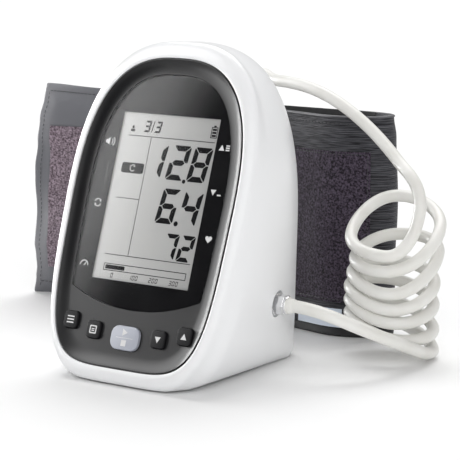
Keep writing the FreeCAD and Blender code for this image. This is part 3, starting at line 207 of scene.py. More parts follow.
def ease(value, start, end):
    """A smooth step from 0 to 1."""
    share = min(max((value - start) / (end - start), 0), 1)
    return share * share * (3 - 2 * share)


def shoulder_ring(share, rim, body, behind):
    """A ring between the rim and the body that leaves the rim straight back near the foot."""
    back = face.to_3x3() @ Vector((0, 0, -1))
    points = []
    for first, last, beyond in zip(rim, body, behind):
        straight = last - first
        start = back.lerp(straight.normalized(), ease(first.z, shoulder_low, shoulder_high)) * straight.length
        end = (beyond - last).normalized() * straight.length
        turn = share * (1 - share)
        swell = start * turn * (1 - share) - end * turn * share
        points.append(first + straight * ease(share, 0, 1) + swell)
    return points


def loft(name, rings, cap_first=False, cap_last=False):
    """A skin drawn through rings of points, by extruding one ring after another."""
    bpy.ops.mesh.primitive_circle_add(vertices=len(rings[0]), radius=1, fill_type="NOTHING")
    piece = bpy.context.object
    piece.name = piece.data.name = name
    bpy.ops.object.mode_set(mode="EDIT")
    bpy.ops.mesh.select_mode(type="VERT")
    bpy.ops.mesh.select_all(action="SELECT")
    mesh = bmesh.from_edit_mesh(piece.data)
    ring = list(mesh.verts)
    for corner, point in zip(ring, rings[0]):
        corner.co = point
    for points in rings[1:]:
        order = {tuple(corner.co): k for k, corner in enumerate(ring)}
        bpy.ops.mesh.extrude_region_move()
        mesh = bmesh.from_edit_mesh(piece.data)
        ring = sorted((v for v in mesh.verts if v.select), key=lambda v: order[tuple(v.co)])
        for corner, point in zip(ring, points):
            corner.co = point
    if cap_last:
        bpy.ops.mesh.edge_face_add()
    if cap_first:
        bpy.ops.mesh.select_all(action="DESELECT")
        mesh = bmesh.from_edit_mesh(piece.data)
        mesh.verts.ensure_lookup_table()
        for corner in mesh.verts[: len(rings[0])]:
            corner.select = True
        mesh.select_flush(True)
        bpy.ops.mesh.edge_face_add()
    bpy.ops.mesh.select_all(action="SELECT")
    bpy.ops.mesh.normals_make_consistent(inside=False)
    bpy.ops.object.mode_set(mode="OBJECT")
    return piece


def pick(piece):
    """Makes one piece the only selected and active one."""
    bpy.ops.object.select_all(action="DESELECT")
    piece.select_set(True)
    bpy.context.view_layer.objects.active = piece


def apply_modifiers(piece):
    """Makes a piece's modifiers part of its mesh."""
    pick(piece)
    for modifier in list(piece.modifiers):
        bpy.ops.object.modifier_apply(modifier=modifier.name)


def thicken(piece, thickness, offset):
    """Gives a thin skin its thickness."""
    wall = piece.modifiers.new("wall", "SOLIDIFY")
    wall.thickness = thickness
    wall.offset = offset
    apply_modifiers(piece)


def carve(piece, cutter, action="DIFFERENCE"):
    """Cuts one closed piece out of another or fuses them, and takes the cutter away."""
    cutting = piece.modifiers.new("carve", "BOOLEAN")
    cutting.object = cutter
    cutting.operation = action
    cutting.solver = "EXACT"
    apply_modifiers(piece)
    bpy.data.objects.remove(cutter)


def smooth(piece, degrees=35):
    """Shades a piece smoothly, with creases only where it turns sharply."""
    pick(piece)
    bpy.ops.object.shade_smooth_by_angle(angle=math.radians(degrees))


def link_noise(tree, scale, detail, squeeze=(1, 1, 1), place="Object"):
    """A noise pattern that is fixed to the piece."""
    origin = tree.nodes.new("ShaderNodeTexCoord")
    stretch = tree.nodes.new("ShaderNodeMapping")
    stretch.inputs["Scale"].default_value = squeeze
    grain = tree.nodes.new("ShaderNodeTexNoise")
    grain.inputs["Scale"].default_value = scale
    grain.inputs["Detail"].default_value = detail
    tree.links.new(origin.outputs[place], stretch.inputs["Vector"])
    tree.links.new(stretch.outputs["Vector"], grain.inputs["Vector"])
    return grain.outputs["Fac"]


def link_range(tree, value, low, high, socket):
    """Spreads a pattern between two values and feeds a socket with it."""
    spread = tree.nodes.new("ShaderNodeMapRange")
    spread.inputs["From Min"].default_value = 0.3
    spread.inputs["From Max"].default_value = 0.7
    spread.inputs["To Min"].default_value = low
    spread.inputs["To Max"].default_value = high
    tree.links.new(value, spread.inputs["Value"])
    tree.links.new(spread.outputs["Result"], socket)


def link_bump(tree, value, depth, shader):
    """Raises and sinks the surface by a pattern, in metres."""
    bump = tree.nodes.new("ShaderNodeBump")
    bump.inputs["Strength"].default_value = 1
    bump.inputs["Distance"].default_value = depth
    tree.links.new(value, bump.inputs["Height"])
    tree.links.new(bump.outputs["Normal"], shader.inputs["Normal"])


lip_depth = 0.0004
casing_rings = [panel_ring(0, -ledge_depth), panel_ring(0, -lip_depth)]
rim_steps = 12
casing_rings += [rim_ring(math.radians(90) * step / rim_steps) for step in range(1, rim_steps + 1)]
body_steps, first_body_step = 36, 4
body_rings = []
for step in range(first_body_step, body_steps + 1):
    place = step / body_steps
    y = foot_front + place * (foot_rear - foot_front)
    tilt = (1 - place**tilt_power) * face_lean
    waist = (1 - waist_fall * place - waist_draw * place**3) * face_height
    body_rings.append(body_ring(y, tilt, waist, body_half(y + waist * math.tan(tilt))))
shoulder_steps = 5
rim_edge = casing_rings[-1]
for step in range(1, shoulder_steps):
    casing_rings.append(shoulder_ring(step / shoulder_steps, rim_edge, body_rings[0], body_rings[1]))
casing_rings += body_rings
rear_half = body_half(foot_rear)
for swing in rear_swings:
    y = foot_rear + math.sin(math.radians(swing)) * rear_bulge
    casing_rings.append(body_ring(y, 0, waist, rear_half * math.cos(math.radians(swing))))
casing = loft("casing", casing_rings, cap_last=True)
bpy.ops.object.mode_set(mode="EDIT")
bpy.ops.mesh.select_all(action="SELECT")
bpy.ops.mesh.bisect(plane_co=(0, 0, foot_height), plane_no=(0, 0, 1), clear_inner=True)
for share in foot_cuts:
    bpy.ops.mesh.select_all(action="SELECT")
    bpy.ops.mesh.bisect(plane_co=(0, 0, foot_height + share * foot_round), plane_no=(0, 0, 1))
bpy.ops.object.mode_set(mode="OBJECT")
tucks = []
for corner in casing.data.vertices:
    sunk = min(max(1 - (corner.co.z - foot_height) / foot_round, 0), 1)
    inwards = Vector((-corner.normal.x, -corner.normal.y, 0)).normalized()
    tucks.append(inwards * foot_tuck * (1 - math.sqrt(1 - sunk**2)))
for corner, tuck in zip(casing.data.vertices, tucks):
    corner.co += tuck
thicken(casing, casing_wall, -1)

socket_y, socket_z, socket_floor = 0.0140, 0.0460, 0.0580
recess_radius, boss_radius, bore_radius = 0.0086, 0.0110, 0.0043
boss_start, boss_end, boss_sink = 0.0545, 0.0725, 0.0012
flank_x, flank_slope = 0.0625, (-0.2264, 0.1253)
recess_end, bore_start, bore_end = 0.0740, 0.0500, 0.0600


def socket_cylinder(radius, start, end, count=64):
    """A bar on the air socket's line, round or with a few flats."""
    bpy.ops.mesh.primitive_cylinder_add(
        vertices=count,
        radius=radius,
        depth=end - start,
        location=((start + end) / 2, socket_y, socket_z),
        rotation=(0, math.radians(90), 0),
    )
    bpy.ops.object.transform_apply()
    return bpy.context.object


boss = socket_cylinder(boss_radius, boss_start, boss_end)
bpy.ops.object.mode_set(mode="EDIT")
bpy.ops.mesh.select_all(action="SELECT")
bpy.ops.mesh.bisect(
    plane_co=(flank_x - boss_sink, socket_y, socket_z),
    plane_no=(1, -flank_slope[0], -flank_slope[1]),
    use_fill=True,
    clear_outer=True,
)
bpy.ops.object.mode_set(mode="OBJECT")
carve(casing, boss, "UNION")
carve(casing, socket_cylinder(recess_radius, socket_floor, recess_end))
carve(casing, socket_cylinder(bore_radius, bore_start, bore_end))
smooth(casing)
casing_white, tree, shader = new_material("casing_white", (0.86, 0.865, 0.875), 0.30)
link_bump(tree, link_noise(tree, 500, 2), 0.000001, shader)
link_range(tree, link_noise(tree, 22, 3), 0.28, 0.33, shader.inputs["Roughness"])
casing.data.materials.append(casing_white)
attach(casing, "monitor")
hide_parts("casing_shell")


# Base. A matt white base plate with a sliding battery door, held by four
# screws, and a grey rubber ring that it stands on; these stay as built.
def dress(material, *names):
    """Gives built pieces their finish."""
    for name in names:
        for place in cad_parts[name].material_slots:
            place.material = material


def link_tint(tree, value, dark, light, socket, start=0.3, end=0.7):
    """Colours a surface from dark to light by a pattern."""
    ramp = tree.nodes.new("ShaderNodeValToRGB")
    ramp.color_ramp.elements[0].position = start
    ramp.color_ramp.elements[0].color = (*dark, 1)
    ramp.color_ramp.elements[1].position = end
    ramp.color_ramp.elements[1].color = (*light, 1)
    tree.links.new(value, ramp.inputs["Fac"])
    tree.links.new(ramp.outputs["Color"], socket)


def moulded(name, dark, light, roughness, grain_scale, grain_depth, metallic=0.0, specular=0.5):
    """A moulded or machined finish: fine grain, a slow change of tint and of gloss."""
    material, tree, shader = new_material(name, light, roughness)
    shader.inputs["Metallic"].default_value = metallic
    shader.inputs["Specular IOR Level"].default_value = specular
    slow = link_noise(tree, 35, 3)
    link_tint(tree, slow, dark, light, shader.inputs["Base Color"])
    link_range(tree, slow, roughness * 0.88, roughness * 1.12, shader.inputs["Roughness"])
    link_bump(tree, link_noise(tree, grain_scale, 2), grain_depth, shader)
    return material


base_white = moulded("base_white", (0.74, 0.745, 0.755), (0.80, 0.805, 0.815), 0.48, 1400, 0.00002)
foot_rubber = moulded("foot_rubber", (0.10, 0.10, 0.105), (0.15, 0.15, 0.155), 0.82, 700, 0.00004)
screw_steel = moulded(
    "screw_steel", (0.50, 0.50, 0.52), (0.64, 0.64, 0.66), 0.30, 2500, 0.000004, metallic=1.0
)
dress(base_white, "base_plate", "battery_door")
dress(foot_rubber, "foot_ring")
dress(screw_steel, "base_screws", "board_screws")

# Battery box. A black ABS tray with nickel springs and four plain cells,
# under the battery door, with the small round speaker beside it.
tray_black = moulded("tray_black", (0.018, 0.018, 0.020), (0.030, 0.030, 0.033), 0.55, 1200, 0.00002)
contact_nickel = moulded(
    "contact_nickel", (0.62, 0.61, 0.57), (0.74, 0.73, 0.69), 0.24, 2500, 0.000003, metallic=1.0
)
cell_wrap = moulded("cell_wrap", (0.10, 0.17, 0.24), (0.13, 0.21, 0.29), 0.32, 500, 0.00001)
dress(tray_black, "battery_box", "speaker")
dress(contact_nickel, "battery_contacts")
dress(cell_wrap, "aa_cells")

# Boards and air system. Green circuit boards, a small pump with its cup, a
# release valve, a pressure sensor and clear inner tubes; these stay as built.
board_green = moulded("board_green", (0.012, 0.075, 0.040), (0.020, 0.110, 0.055), 0.38, 900, 0.00002)
inner_grey = moulded("inner_grey", (0.30, 0.31, 0.32), (0.38, 0.39, 0.40), 0.50, 1200, 0.00002)
motor_steel = moulded(
    "motor_steel", (0.42, 0.42, 0.43), (0.55, 0.55, 0.56), 0.34, 1800, 0.00001, metallic=1.0
)
tube_clear = moulded("tube_clear", (0.62, 0.64, 0.63), (0.74, 0.76, 0.75), 0.28, 600, 0.00001)
dress(board_green, "main_board", "key_board")
dress(inner_grey, "lcd_holder", "lcd_backlight", "pump_head", "air_tee", "key_switches")
dress(motor_steel, "pump_motor", "release_valve", "pressure_sensor")
dress(tube_clear, "inner_tubes", "socket_tube")
dress(foot_rubber, "pump_cup", "zebra_strip")

# Display. Pale grey liquid crystal glass behind the window, with dark segment
# figures, ruled lines and a pressure bar printed on its face.
lcd_top = -0.0056
ink_lift, ink_half = 0.00004, 0.00002
figure_slant = 0.13


def link_along(tree, axis, start, end):
    """A value that rises from 0 to 1 along one axis of the piece."""
    origin = tree.nodes.new("ShaderNodeTexCoord")
    split = tree.nodes.new("ShaderNodeSeparateXYZ")
    run = tree.nodes.new("ShaderNodeMapRange")
    run.inputs["From Min"].default_value = start
    run.inputs["From Max"].default_value = end
    tree.links.new(origin.outputs["Object"], split.inputs["Vector"])
    tree.links.new(split.outputs[axis], run.inputs["Value"])
    return run.outputs["Result"]


lcd_pale, tree, shader = new_material("lcd_pale", (0.46, 0.46, 0.45), 0.38)
shader.inputs["Specular IOR Level"].default_value = 0.2
# The glass's base colour runs lighter at the left to darker at the right: a painted reflection across the
# display.
across = link_along(tree, "X", -0.040, 0.040)
link_tint(tree, across, (0.60, 0.60, 0.59), (0.34, 0.34, 0.335), shader.inputs["Base Color"], 0, 1)
link_bump(tree, link_noise(tree, 2600, 1), 0.000006, shader)
dress(lcd_pale, "lcd_glass")


def flat_marks(name, outlines, depth, material, body):
    """Thin flat marks on the leaning face, cut from closed outlines."""
    bpy.ops.curve.primitive_bezier_circle_add()
    marks = bpy.context.object
    marks.name = name
    marks.data.splines.clear()
    marks.data.dimensions = "2D"
    marks.data.fill_mode = "BOTH"
    marks.data.extrude = ink_half
    for outline in outlines:
        line = marks.data.splines.new("POLY")
        line.points.add(len(outline) - 1)
        line.use_cyclic_u = True
        for place, (x, y) in zip(line.points, outline):
            place.co = (x / 1000, y / 1000, 0, 1)
    bpy.ops.object.convert(target="MESH")
    marks = bpy.context.object
    marks.matrix_world = face @ Matrix.Translation((0, 0, depth + ink_lift))
    bpy.ops.object.transform_apply()
    marks.data.materials.append(material)
    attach(marks, body)


def bar(left, low, right, high):
    """A plain rectangle, in millimetres of the face."""
    return [(left, low), (right, low), (right, high), (left, high)]


def rounded(left, low, right, high, corner, count=5):
    """A rectangle with round corners."""
    points = []
    middles = [
        (right - corner, low + corner),
        (right - corner, high - corner),
        (left + corner, high - corner),
        (left + corner, low + corner),
    ]
    for quarter, (x, y) in enumerate(middles):
        for step in range(count + 1):
            angle = math.radians(90) * (quarter - 1 + step / count)
            points.append((x + corner * math.cos(angle), y + corner * math.sin(angle)))
    return points


def frame_lines(left, low, right, high, line):
    """The two outlines of a thin rectangular frame."""
    return [bar(left, low, right, high), bar(left + line, low + line, right - line, high - line)]


def disc(x, y, radius, count=28):
    """A round dot."""
    turns = [2 * math.pi * step / count for step in range(count)]
    return [(x + radius * math.cos(t), y + radius * math.sin(t)) for t in turns]


def sector(x, y, outer, inner, start, end, count=20):
    """Part of a ring, between two angles in degrees."""
    turns = [math.radians(start + (end - start) * step / count) for step in range(count + 1)]
    outside = [(x + outer * math.cos(t), y + outer * math.sin(t)) for t in turns]
    return outside + [(x + inner * math.cos(t), y + inner * math.sin(t)) for t in reversed(turns)]


segments_lit = {
    "0": "abcdef",
    "1": "bc",
    "2": "abged",
    "3": "abgcd",
    "4": "fgbc",
    "6": "afgedc",
    "7": "abc",
    "8": "abcdefg",
}


def figure(digit, x, y, width, height, stroke):
    """A seven-segment figure about its middle, leaning a little to the right."""
    gap, cut, low = stroke * 0.10, stroke * 0.15, stroke / 2
    half, tall = width / 2, height / 2
    inner, end = half - stroke, half - gap
    shapes = {
        "a": [
            (2 * cut - end, tall),
            (end - 2 * cut, tall),
            (end - cut, tall - cut),
            (inner - gap, tall - stroke),
            (gap - inner, tall - stroke),
            (cut - end, tall - cut),
        ],
        "b": [
            (half, tall - gap - 2 * cut),
            (half, gap),
            (half - low, gap),
            (inner, low + gap),
            (inner, tall - stroke - gap),
            (half - cut, tall - gap - cut),
        ],
        "g": [
            (gap + low - half, 0),
            (gap - inner, low),
            (inner - gap, low),
            (end - low, 0),
            (inner - gap, -low),
            (gap - inner, -low),
        ],
    }
    shapes["d"] = [(px, -py) for px, py in shapes["a"]]
    shapes["c"] = [(px, -py) for px, py in shapes["b"]]
    shapes["e"] = [(-px, -py) for px, py in shapes["b"]]
    shapes["f"] = [(-px, py) for px, py in shapes["b"]]
    return [
        [(x + px + figure_slant * py, y + py) for px, py in shapes[letter]]
        for letter in segments_lit[digit]
    ]


def printed(name, dark, light):
    """A flat printed ink without gloss, its cover a little uneven."""
    material, tree, shader = new_material(name, light, 0.8)
    shader.inputs["Specular IOR Level"].default_value = 0
    link_tint(tree, link_noise(tree, 60, 3), dark, light, shader.inputs["Base Color"])
    return material


lcd_ink = printed("lcd_ink", (0.006, 0.006, 0.007), (0.012, 0.012, 0.013))
lcd_grey_ink = printed("lcd_grey_ink", (0.050, 0.050, 0.050), (0.070, 0.070, 0.070))
shown = []
for digit, x, y, width, height, stroke in (
    ("1", -6.4, 24.1, 13.6, 22.0, 3.5),
    ("2", 11.2, 24.1, 13.6, 22.0, 3.5),
    ("8", 27.6, 24.1, 13.6, 22.0, 3.5),
    ("6", 9.8, -3.4, 13.6, 22.0, 3.5),
    ("4", 26.9, -3.4, 13.6, 22.0, 3.5),
    ("7", 17.2, -28.2, 10.4, 16.4, 2.75),
    ("2", 29.4, -28.2, 10.4, 16.4, 2.75),
    ("3", -17.8, 45.2, 4.8, 7.4, 1.25),
    ("3", -9.4, 45.2, 4.8, 7.4, 1.25),
):
    shown += figure(digit, x, y, width, height, stroke)
shown += [disc(17.95, 12.9, 1.3), disc(18.2, -13.6, 1.6)]
shown.append([(-14.5, 41.6), (-13.8, 41.6), (-12.6, 48.8), (-13.3, 48.8)])
shown += [rounded(-32.0, 14.8, -14.6, 21.4, 1.4)]
shown += [sector(-23.3, 18.1, 2.3, 1.6, 70, 320), [(-22.9, 19.0), (-22.1, 20.8), (-21.4, 18.7)]]
shown += frame_lines(-30.6, -47.6, 33.6, -43.0, 0.45)
shown += [rounded(-29.2, -46.6, -14.0, -44.0, 0.6)]
shown += frame_lines(31.4, 41.4, 36.2, 48.4, 0.5)
shown += [bar(32.9, 48.5, 34.7, 49.4), bar(32.3, 42.3, 35.3, 43.6)]
shown += [bar(32.3, 44.2, 35.3, 45.5), bar(32.3, 46.1, 35.3, 47.4)]
shown += [disc(-28.9, 44.2, 1.0), rounded(-30.6, 41.2, -27.2, 43.0, 0.8)]
flat_marks("lcd_figures", shown, lcd_top, lcd_ink, "monitor")
ruled = [bar(-31.6, 38.5, 35.6, 39.0), bar(-13.6, -37.0, -13.1, 38.4)]
ruled += [bar(-31.8, -1.5, -13.7, -1.05), bar(-31.8, -37.6, 35.0, -37.1)]
flat_marks("lcd_lines", ruled, lcd_top, lcd_grey_ink, "monitor")
scale_marks = []
for x, digits in ((-23.0, "0"), (-6.0, "100"), (9.6, "200"), (25.2, "300")):
    for step, digit in enumerate(digits):
        scale_marks += figure(digit, x + 2.5 * (step - (len(digits) - 1) / 2), -50.3, 1.8, 3.0, 0.45)
flat_marks("lcd_scale", scale_marks, lcd_top, lcd_grey_ink, "monitor")

# Bezel. Satin ABS that fills the casing's mouth, graphite below, black above (partly
# painted shade): a hollow cove round the edge, a flat floor, a window seat and five key holes.
cove_width, cove_depth, cove_end, cove_lip = 0.0093, 0.00286, 0.0100, 0.96
cove_radius = (cove_width**2 + cove_depth**2) / (2 * cove_depth)


def cove_ring(share):
    """A ring of the cove, from its lip at share 1 to the floor at share 0."""
    run = cove_width * share
    sink = cove_radius - math.sqrt(cove_radius**2 - run**2)
    return panel_ring(cove_end - run, sink - cove_depth)


window_arc, window_arc_radius = 0.0480, 0.1190


def window_ring(inset, depth):
    """The window's outline: the floor's egg, cut off below by a wide arc."""
    points = []
    for x, y in panel_egg(cove_end + inset):
        low = window_arc - math.sqrt((window_arc_radius - inset) ** 2 - x**2)
        points.append(face @ Vector((x, max(y, low), depth)))
    return points


key_places = {
    "mode_button": (-0.0443, -0.0815, 0.0110, 0.0110, 0.0026),
    "memory_button": (-0.0252, -0.0856, 0.0110, 0.0110, 0.0026),
    "start_stop_button": (0, -0.0879, 0.0215, 0.0150, 0.0056),
    "down_button": (0.0252, -0.0856, 0.0110, 0.0110, 0.0026),
    "up_button": (0.0443, -0.0815, 0.0110, 0.0110, 0.0026),
}
key_gap = 0.00025
cut_low, cut_high = -0.0070, 0.0010


def choose(piece, kind, test):
    """Opens a piece for editing, with only those edges or faces selected that pass a test."""
    pick(piece)
    bpy.ops.object.mode_set(mode="EDIT")
    bpy.ops.mesh.select_mode(type=kind)
    bpy.ops.mesh.select_all(action="DESELECT")
    mesh = bmesh.from_edit_mesh(piece.data)
    for part in mesh.edges if kind == "EDGE" else mesh.faces:
        if test(part):
            part.select = True
    mesh.select_flush_mode()


def key_block(name, x, y, width, height, corner, low, high):
    """A block with round upright corners, standing on the leaning face."""
    bpy.ops.mesh.primitive_cube_add(size=1)
    block = bpy.context.object
    block.name = block.data.name = name
    block.dimensions = (width, height, high - low)
    block.location = (x, y, (low + high) / 2)
    bpy.ops.object.transform_apply()
    choose(block, "EDGE", lambda edge: abs(edge.verts[0].co.z - edge.verts[1].co.z) > (high - low) / 2)
    bpy.ops.mesh.bevel(offset=corner, segments=8, affect="EDGES")
    bpy.ops.object.mode_set(mode="OBJECT")
    return block


def lay_on_face(piece):
    """Moves a piece from the face's own flat frame onto the leaning face."""
    pick(piece)
    piece.matrix_world = face
    bpy.ops.object.transform_apply()


bezel_gap, bezel_step = 0.0002, 0.0009
bezel_back, step_depth, bezel_front = -0.0055, -0.0012, -0.0003
bezel_rings = [
    panel_ring(bezel_gap, bezel_back),
    panel_ring(bezel_gap, step_depth),
    panel_ring(bezel_step, step_depth),
    panel_ring(bezel_step, bezel_front),
]
cove_steps = 14
bezel_rings += [cove_ring(cove_lip * (1 - step / cove_steps)) for step in range(cove_steps + 1)]
bezel = loft("bezel_moulding", bezel_rings, cap_first=True, cap_last=True)
seat_inset = 0.0002
seat_rings = [window_ring(seat_inset, cut_low), window_ring(seat_inset, cut_high)]
carve(bezel, loft("seat", seat_rings, cap_first=True, cap_last=True))
for name, (x, y, width, height, corner) in key_places.items():
    wide, tall = width + 2 * key_gap, height + 2 * key_gap
    hole = key_block("hole", x, y, wide, tall, corner + key_gap, cut_low, cut_high)
    lay_on_face(hole)
    carve(bezel, hole)
smooth(bezel, 28)
bezel_graphite, tree, shader = new_material("bezel_graphite", (0.016, 0.016, 0.017), 0.30)
shader.inputs["Specular IOR Level"].default_value = 0.34
# Base colour darker towards the top: partly a two-tone moulding, partly painted shade of the upper cove that
# faces down.
tone_and_shade_upwards = link_along(tree, "Z", 0.048, 0.076)
link_tint(tree, tone_and_shade_upwards, (0.017, 0.017, 0.018), (0.004, 0.004, 0.005), shader.inputs["Base Color"], 0, 1)
link_range(tree, link_noise(tree, 30, 3), 0.28, 0.33, shader.inputs["Roughness"])
link_bump(tree, link_noise(tree, 2600, 2), 0.00001, shader)
bezel.data.materials.append(bezel_graphite)
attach(bezel, "monitor")
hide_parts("bezel")

# Window. A flush clear acrylic pane over a thin black mask that leaves the
# display open, with small white signs printed beside the opening.
window_gap = 0.0003
window_back, window_front = -0.00436, -0.00286
mask_top, mask_depth = -0.00466, 0.0001
view_width, view_height, view_corner = 0.0750, 0.1065, 0.0004
mask_rings = [window_ring(window_gap, mask_top - mask_depth), window_ring(window_gap, mask_top)]
mask = loft("black_mask", mask_rings, cap_first=True, cap_last=True)
opening = key_block("opening", 0, 0, view_width, view_height, view_corner, cut_low, cut_high)
lay_on_face(opening)
carve(mask, opening)
mask_black = printed("mask_black", (0.004, 0.004, 0.005), (0.007, 0.007, 0.008))
mask.data.materials.append(mask_black)
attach(mask, "monitor")
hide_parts("window_mask")

pane_edge = ((0, 0.0003), (0.0001, 0.0001), (0.0003, 0), (0.0005, 0))
pane_rings = [window_ring(window_gap, window_back)]
pane_rings += [window_ring(window_gap + inset, window_front - drop) for inset, drop in pane_edge]
pane = loft("display_pane", pane_rings, cap_first=True, cap_last=True)
smooth(pane, 50)
pane_clear, tree, shader = new_material("pane_clear", (0.95, 0.95, 0.95), 0.06)
shader.inputs["Metallic"].default_value = 1
shader.inputs["Alpha"].default_value = 0.017
link_range(tree, link_noise(tree, 25, 3), 0.05, 0.09, shader.inputs["Roughness"])
pane.data.materials.append(pane_clear)
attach(pane, "monitor")
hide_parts("display_window")

sign_white = printed("sign_white", (0.74, 0.74, 0.74), (0.82, 0.82, 0.82))
sign_grey = printed("sign_grey", (0.14, 0.14, 0.145), (0.17, 0.17, 0.175))
heart_x, heart_y, heart_size, heart_count = 45.6, -20.6, 0.155, 40
heart = []
for step in range(heart_count):
    turn = 2 * math.pi * step / heart_count
    rise = 13 * math.cos(turn) - 5 * math.cos(2 * turn) - 2 * math.cos(3 * turn) - math.cos(4 * turn)
    heart.append((heart_x + heart_size * 16 * math.sin(turn) ** 3, heart_y + heart_size * rise))
signs = [
    [(40.2, 34.2), (44.4, 34.2), (42.3, 37.8)],
    bar(45.4, 34.2, 48.2, 35.1),
    bar(45.4, 35.6, 48.2, 36.5),
    bar(45.4, 37.0, 48.2, 37.8),
    [(40.2, 9.8), (44.4, 9.8), (42.3, 6.2)],
    bar(45.4, 6.2, 48.2, 7.1),
    heart,
    [(-47.6, 32.5), (-46.4, 32.5), (-44.6, 31.0), (-44.6, 36.2), (-46.4, 34.7), (-47.6, 34.7)],
    sector(-44.4, 33.6, 2.4, 1.9, -48, 48),
    sector(-44.4, 33.6, 3.9, 3.4, -48, 48),
    sector(-44.4, -6.0, 2.7, 2.1, 52, 165),
    sector(-44.4, -6.0, 2.7, 2.1, 232, 345),
    [(-43.4, -4.9), (-42.1, -3.6), (-42.0, -5.8)],
    [(-45.4, -7.1), (-46.7, -8.4), (-46.8, -6.2)],
    sector(-45.6, -46.4, 3.4, 2.8, 0, 180),
    [(-46.0, -46.6), (-45.2, -46.6), (-43.8, -44.4), (-44.2, -44.1)],
]
flat_marks("window_signs", signs, mask_top, sign_white, "monitor")
brackets = [bar(-42.6, 3.0, -42.2, 20.6), bar(-42.1, 20.2, -40.4, 20.6)]
brackets += [bar(-42.1, 11.6, -40.4, 12.0), bar(-42.1, 3.0, -40.4, 3.4)]
flat_marks("window_brackets", brackets, mask_top, sign_grey, "monitor")

# Keys. Five moulded keys that stand 2 mm proud of the bezel's floor: four
# charcoal rubber ones and a pale start and stop key, each with a printed sign.
key_top, key_low, key_edge = -0.00086, -0.0062, 0.0007
key_dark = moulded(
    "key_dark", (0.005, 0.005, 0.006), (0.008, 0.008, 0.009), 0.50, 2200, 0.00001, specular=0.15
)
key_pale = moulded("key_pale", (0.36, 0.38, 0.44), (0.41, 0.43, 0.49), 0.36, 2200, 0.000008)
key_signs = {
    "mode_button": [
        bar(-47.0, -80.0, -41.6, -79.2),
        bar(-47.0, -81.9, -41.6, -81.1),
        bar(-47.0, -83.8, -41.6, -83.0),
    ],
    "memory_button": [
        rounded(-27.9, -88.2, -22.5, -83.0, 0.7),
        rounded(-27.1, -87.4, -23.3, -83.8, 0.4),
        bar(-26.3, -85.5, -24.1, -84.9),
        bar(-26.3, -86.6, -24.1, -86.0),
    ],
    "start_stop_button": [
        [(-1.9, -86.7), (-1.9, -82.3), (2.1, -84.5)],
        bar(-6.5, -88.05, 6.5, -87.75),
        rounded(-1.9, -93.0, 1.9, -89.2, 0.3),
    ],
    "down_button": [[(23.0, -84.0), (27.4, -84.0), (25.2, -87.8)]],
    "up_button": [[(42.1, -83.4), (46.5, -83.4), (44.3, -79.6)]],
}
for name, (x, y, width, height, corner) in key_places.items():
    key = key_block(name + "_cap", x, y, width, height, corner, key_low, key_top)
    choose(key, "FACE", lambda side: side.normal.z > 0.9)
    bpy.ops.mesh.bevel(offset=key_edge, segments=4, affect="EDGES")
    bpy.ops.object.mode_set(mode="OBJECT")
    lay_on_face(key)
    smooth(key, 40)
    pale = name == "start_stop_button"
    key.data.materials.append(key_pale if pale else key_dark)
    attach(key, name)
    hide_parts(name)
    flat_marks(name + "_sign", key_signs[name], key_top, sign_white, name)

# Air socket. A nickel-plated hex nut clamps the socket in a round recess of the
# right flank; the short barbed stub inside it stays as built.
nut_inner, nut_outer, nut_flats, nut_edge = 0.0580, 0.0625, 0.0130, 0.0005
nut_radius = nut_flats / 2 / math.cos(math.radians(30))


def hex_bar(name, radius, start, end, edge, rounds):
    """A six-sided bar on the air socket's line, with the edges of its outer end rounded."""
    piece = socket_cylinder(radius, start, end, 6)
    piece.name = piece.data.name = name
    choose(piece, "FACE", lambda side: side.normal.x > 0.9)
    bpy.ops.mesh.bevel(offset=edge, segments=rounds, affect="EDGES")
    bpy.ops.object.mode_set(mode="OBJECT")
    smooth(piece, 25)
    return piece


nut = hex_bar("socket_nut_hex", nut_radius, nut_inner, nut_outer, nut_edge, 2)
nut_nickel = moulded(
    "nut_nickel", (0.78, 0.78, 0.79), (0.88, 0.88, 0.89), 0.22, 1500, 0.000003, metallic=1.0
)
nut.data.materials.append(nut_nickel)
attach(nut, "monitor")
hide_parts("socket_nut")
dress(nut_nickel, "air_socket")

# Air hose. Soft off-white PVC tube, 8 mm thick and about 1.4 m long: a nickel
# collar plugs it into the right flank, and it stands coiled on its way to the cuff.
hose_radius, hose_length = 0.0040, 1.42
collar_face, collar_end, hose_exit = 0.06265, 0.06985, 0.07565
collar_radius, collar_edge, band_end = 0.0066, 0.0006, 0.07140
collar = hex_bar("collar", collar_radius, collar_face, collar_end, collar_edge, 3)


def join(name, pieces):
    """Makes several pieces one."""
    pick(pieces[0])
    for piece in pieces:
        piece.select_set(True)
    bpy.ops.object.join()
    pieces[0].name = pieces[0].data.name = name
    return pieces[0]


def round_rings(profile, count=64):
    """Round rings about the air socket's line, from a list of (radius, x)."""
    turns = [2 * math.pi * step / count for step in range(count)]
    return [
        [Vector((x, socket_y + r * math.cos(t), socket_z + r * math.sin(t))) for t in turns]
        for r, x in profile
    ]


plug_profile = [
    (0.0031, collar_end),
    (0.0054, collar_end),
    (0.0056, collar_end + 0.0003),
    (0.0056, collar_end + 0.0012),
    (0.0054, collar_end + 0.0015),
    (0.0045, collar_end + 0.0016),
    (0.0045, hose_exit - 0.0014),
    (0.0043, hose_exit - 0.0005),
    (0.0039, hose_exit),
    (0.0031, hose_exit),
    (0.0031, collar_end),
]
plug = loft("hose_plug_sleeve", round_rings(plug_profile))
smooth(plug, 40)
plug = join("hose_plug_sleeve", [plug, collar])
hose_pvc, tree, shader = new_material("hose_pvc", (0.76, 0.755, 0.72), 0.34)
smear = link_noise(tree, 60, 2)
link_tint(tree, smear, (0.73, 0.72, 0.68), (0.79, 0.785, 0.755), shader.inputs["Base Color"])
link_range(tree, smear, 0.28, 0.42, shader.inputs["Roughness"])
link_bump(tree, link_noise(tree, 320, 2), 0.00001, shader)
plug.data.materials.append(nut_nickel)
plug.data.materials.append(hose_pvc)
for side in plug.data.polygons:
    side.material_index = 0 if side.center.x < band_end else 1
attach(plug, "hose_set")
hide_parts("hose_plug")

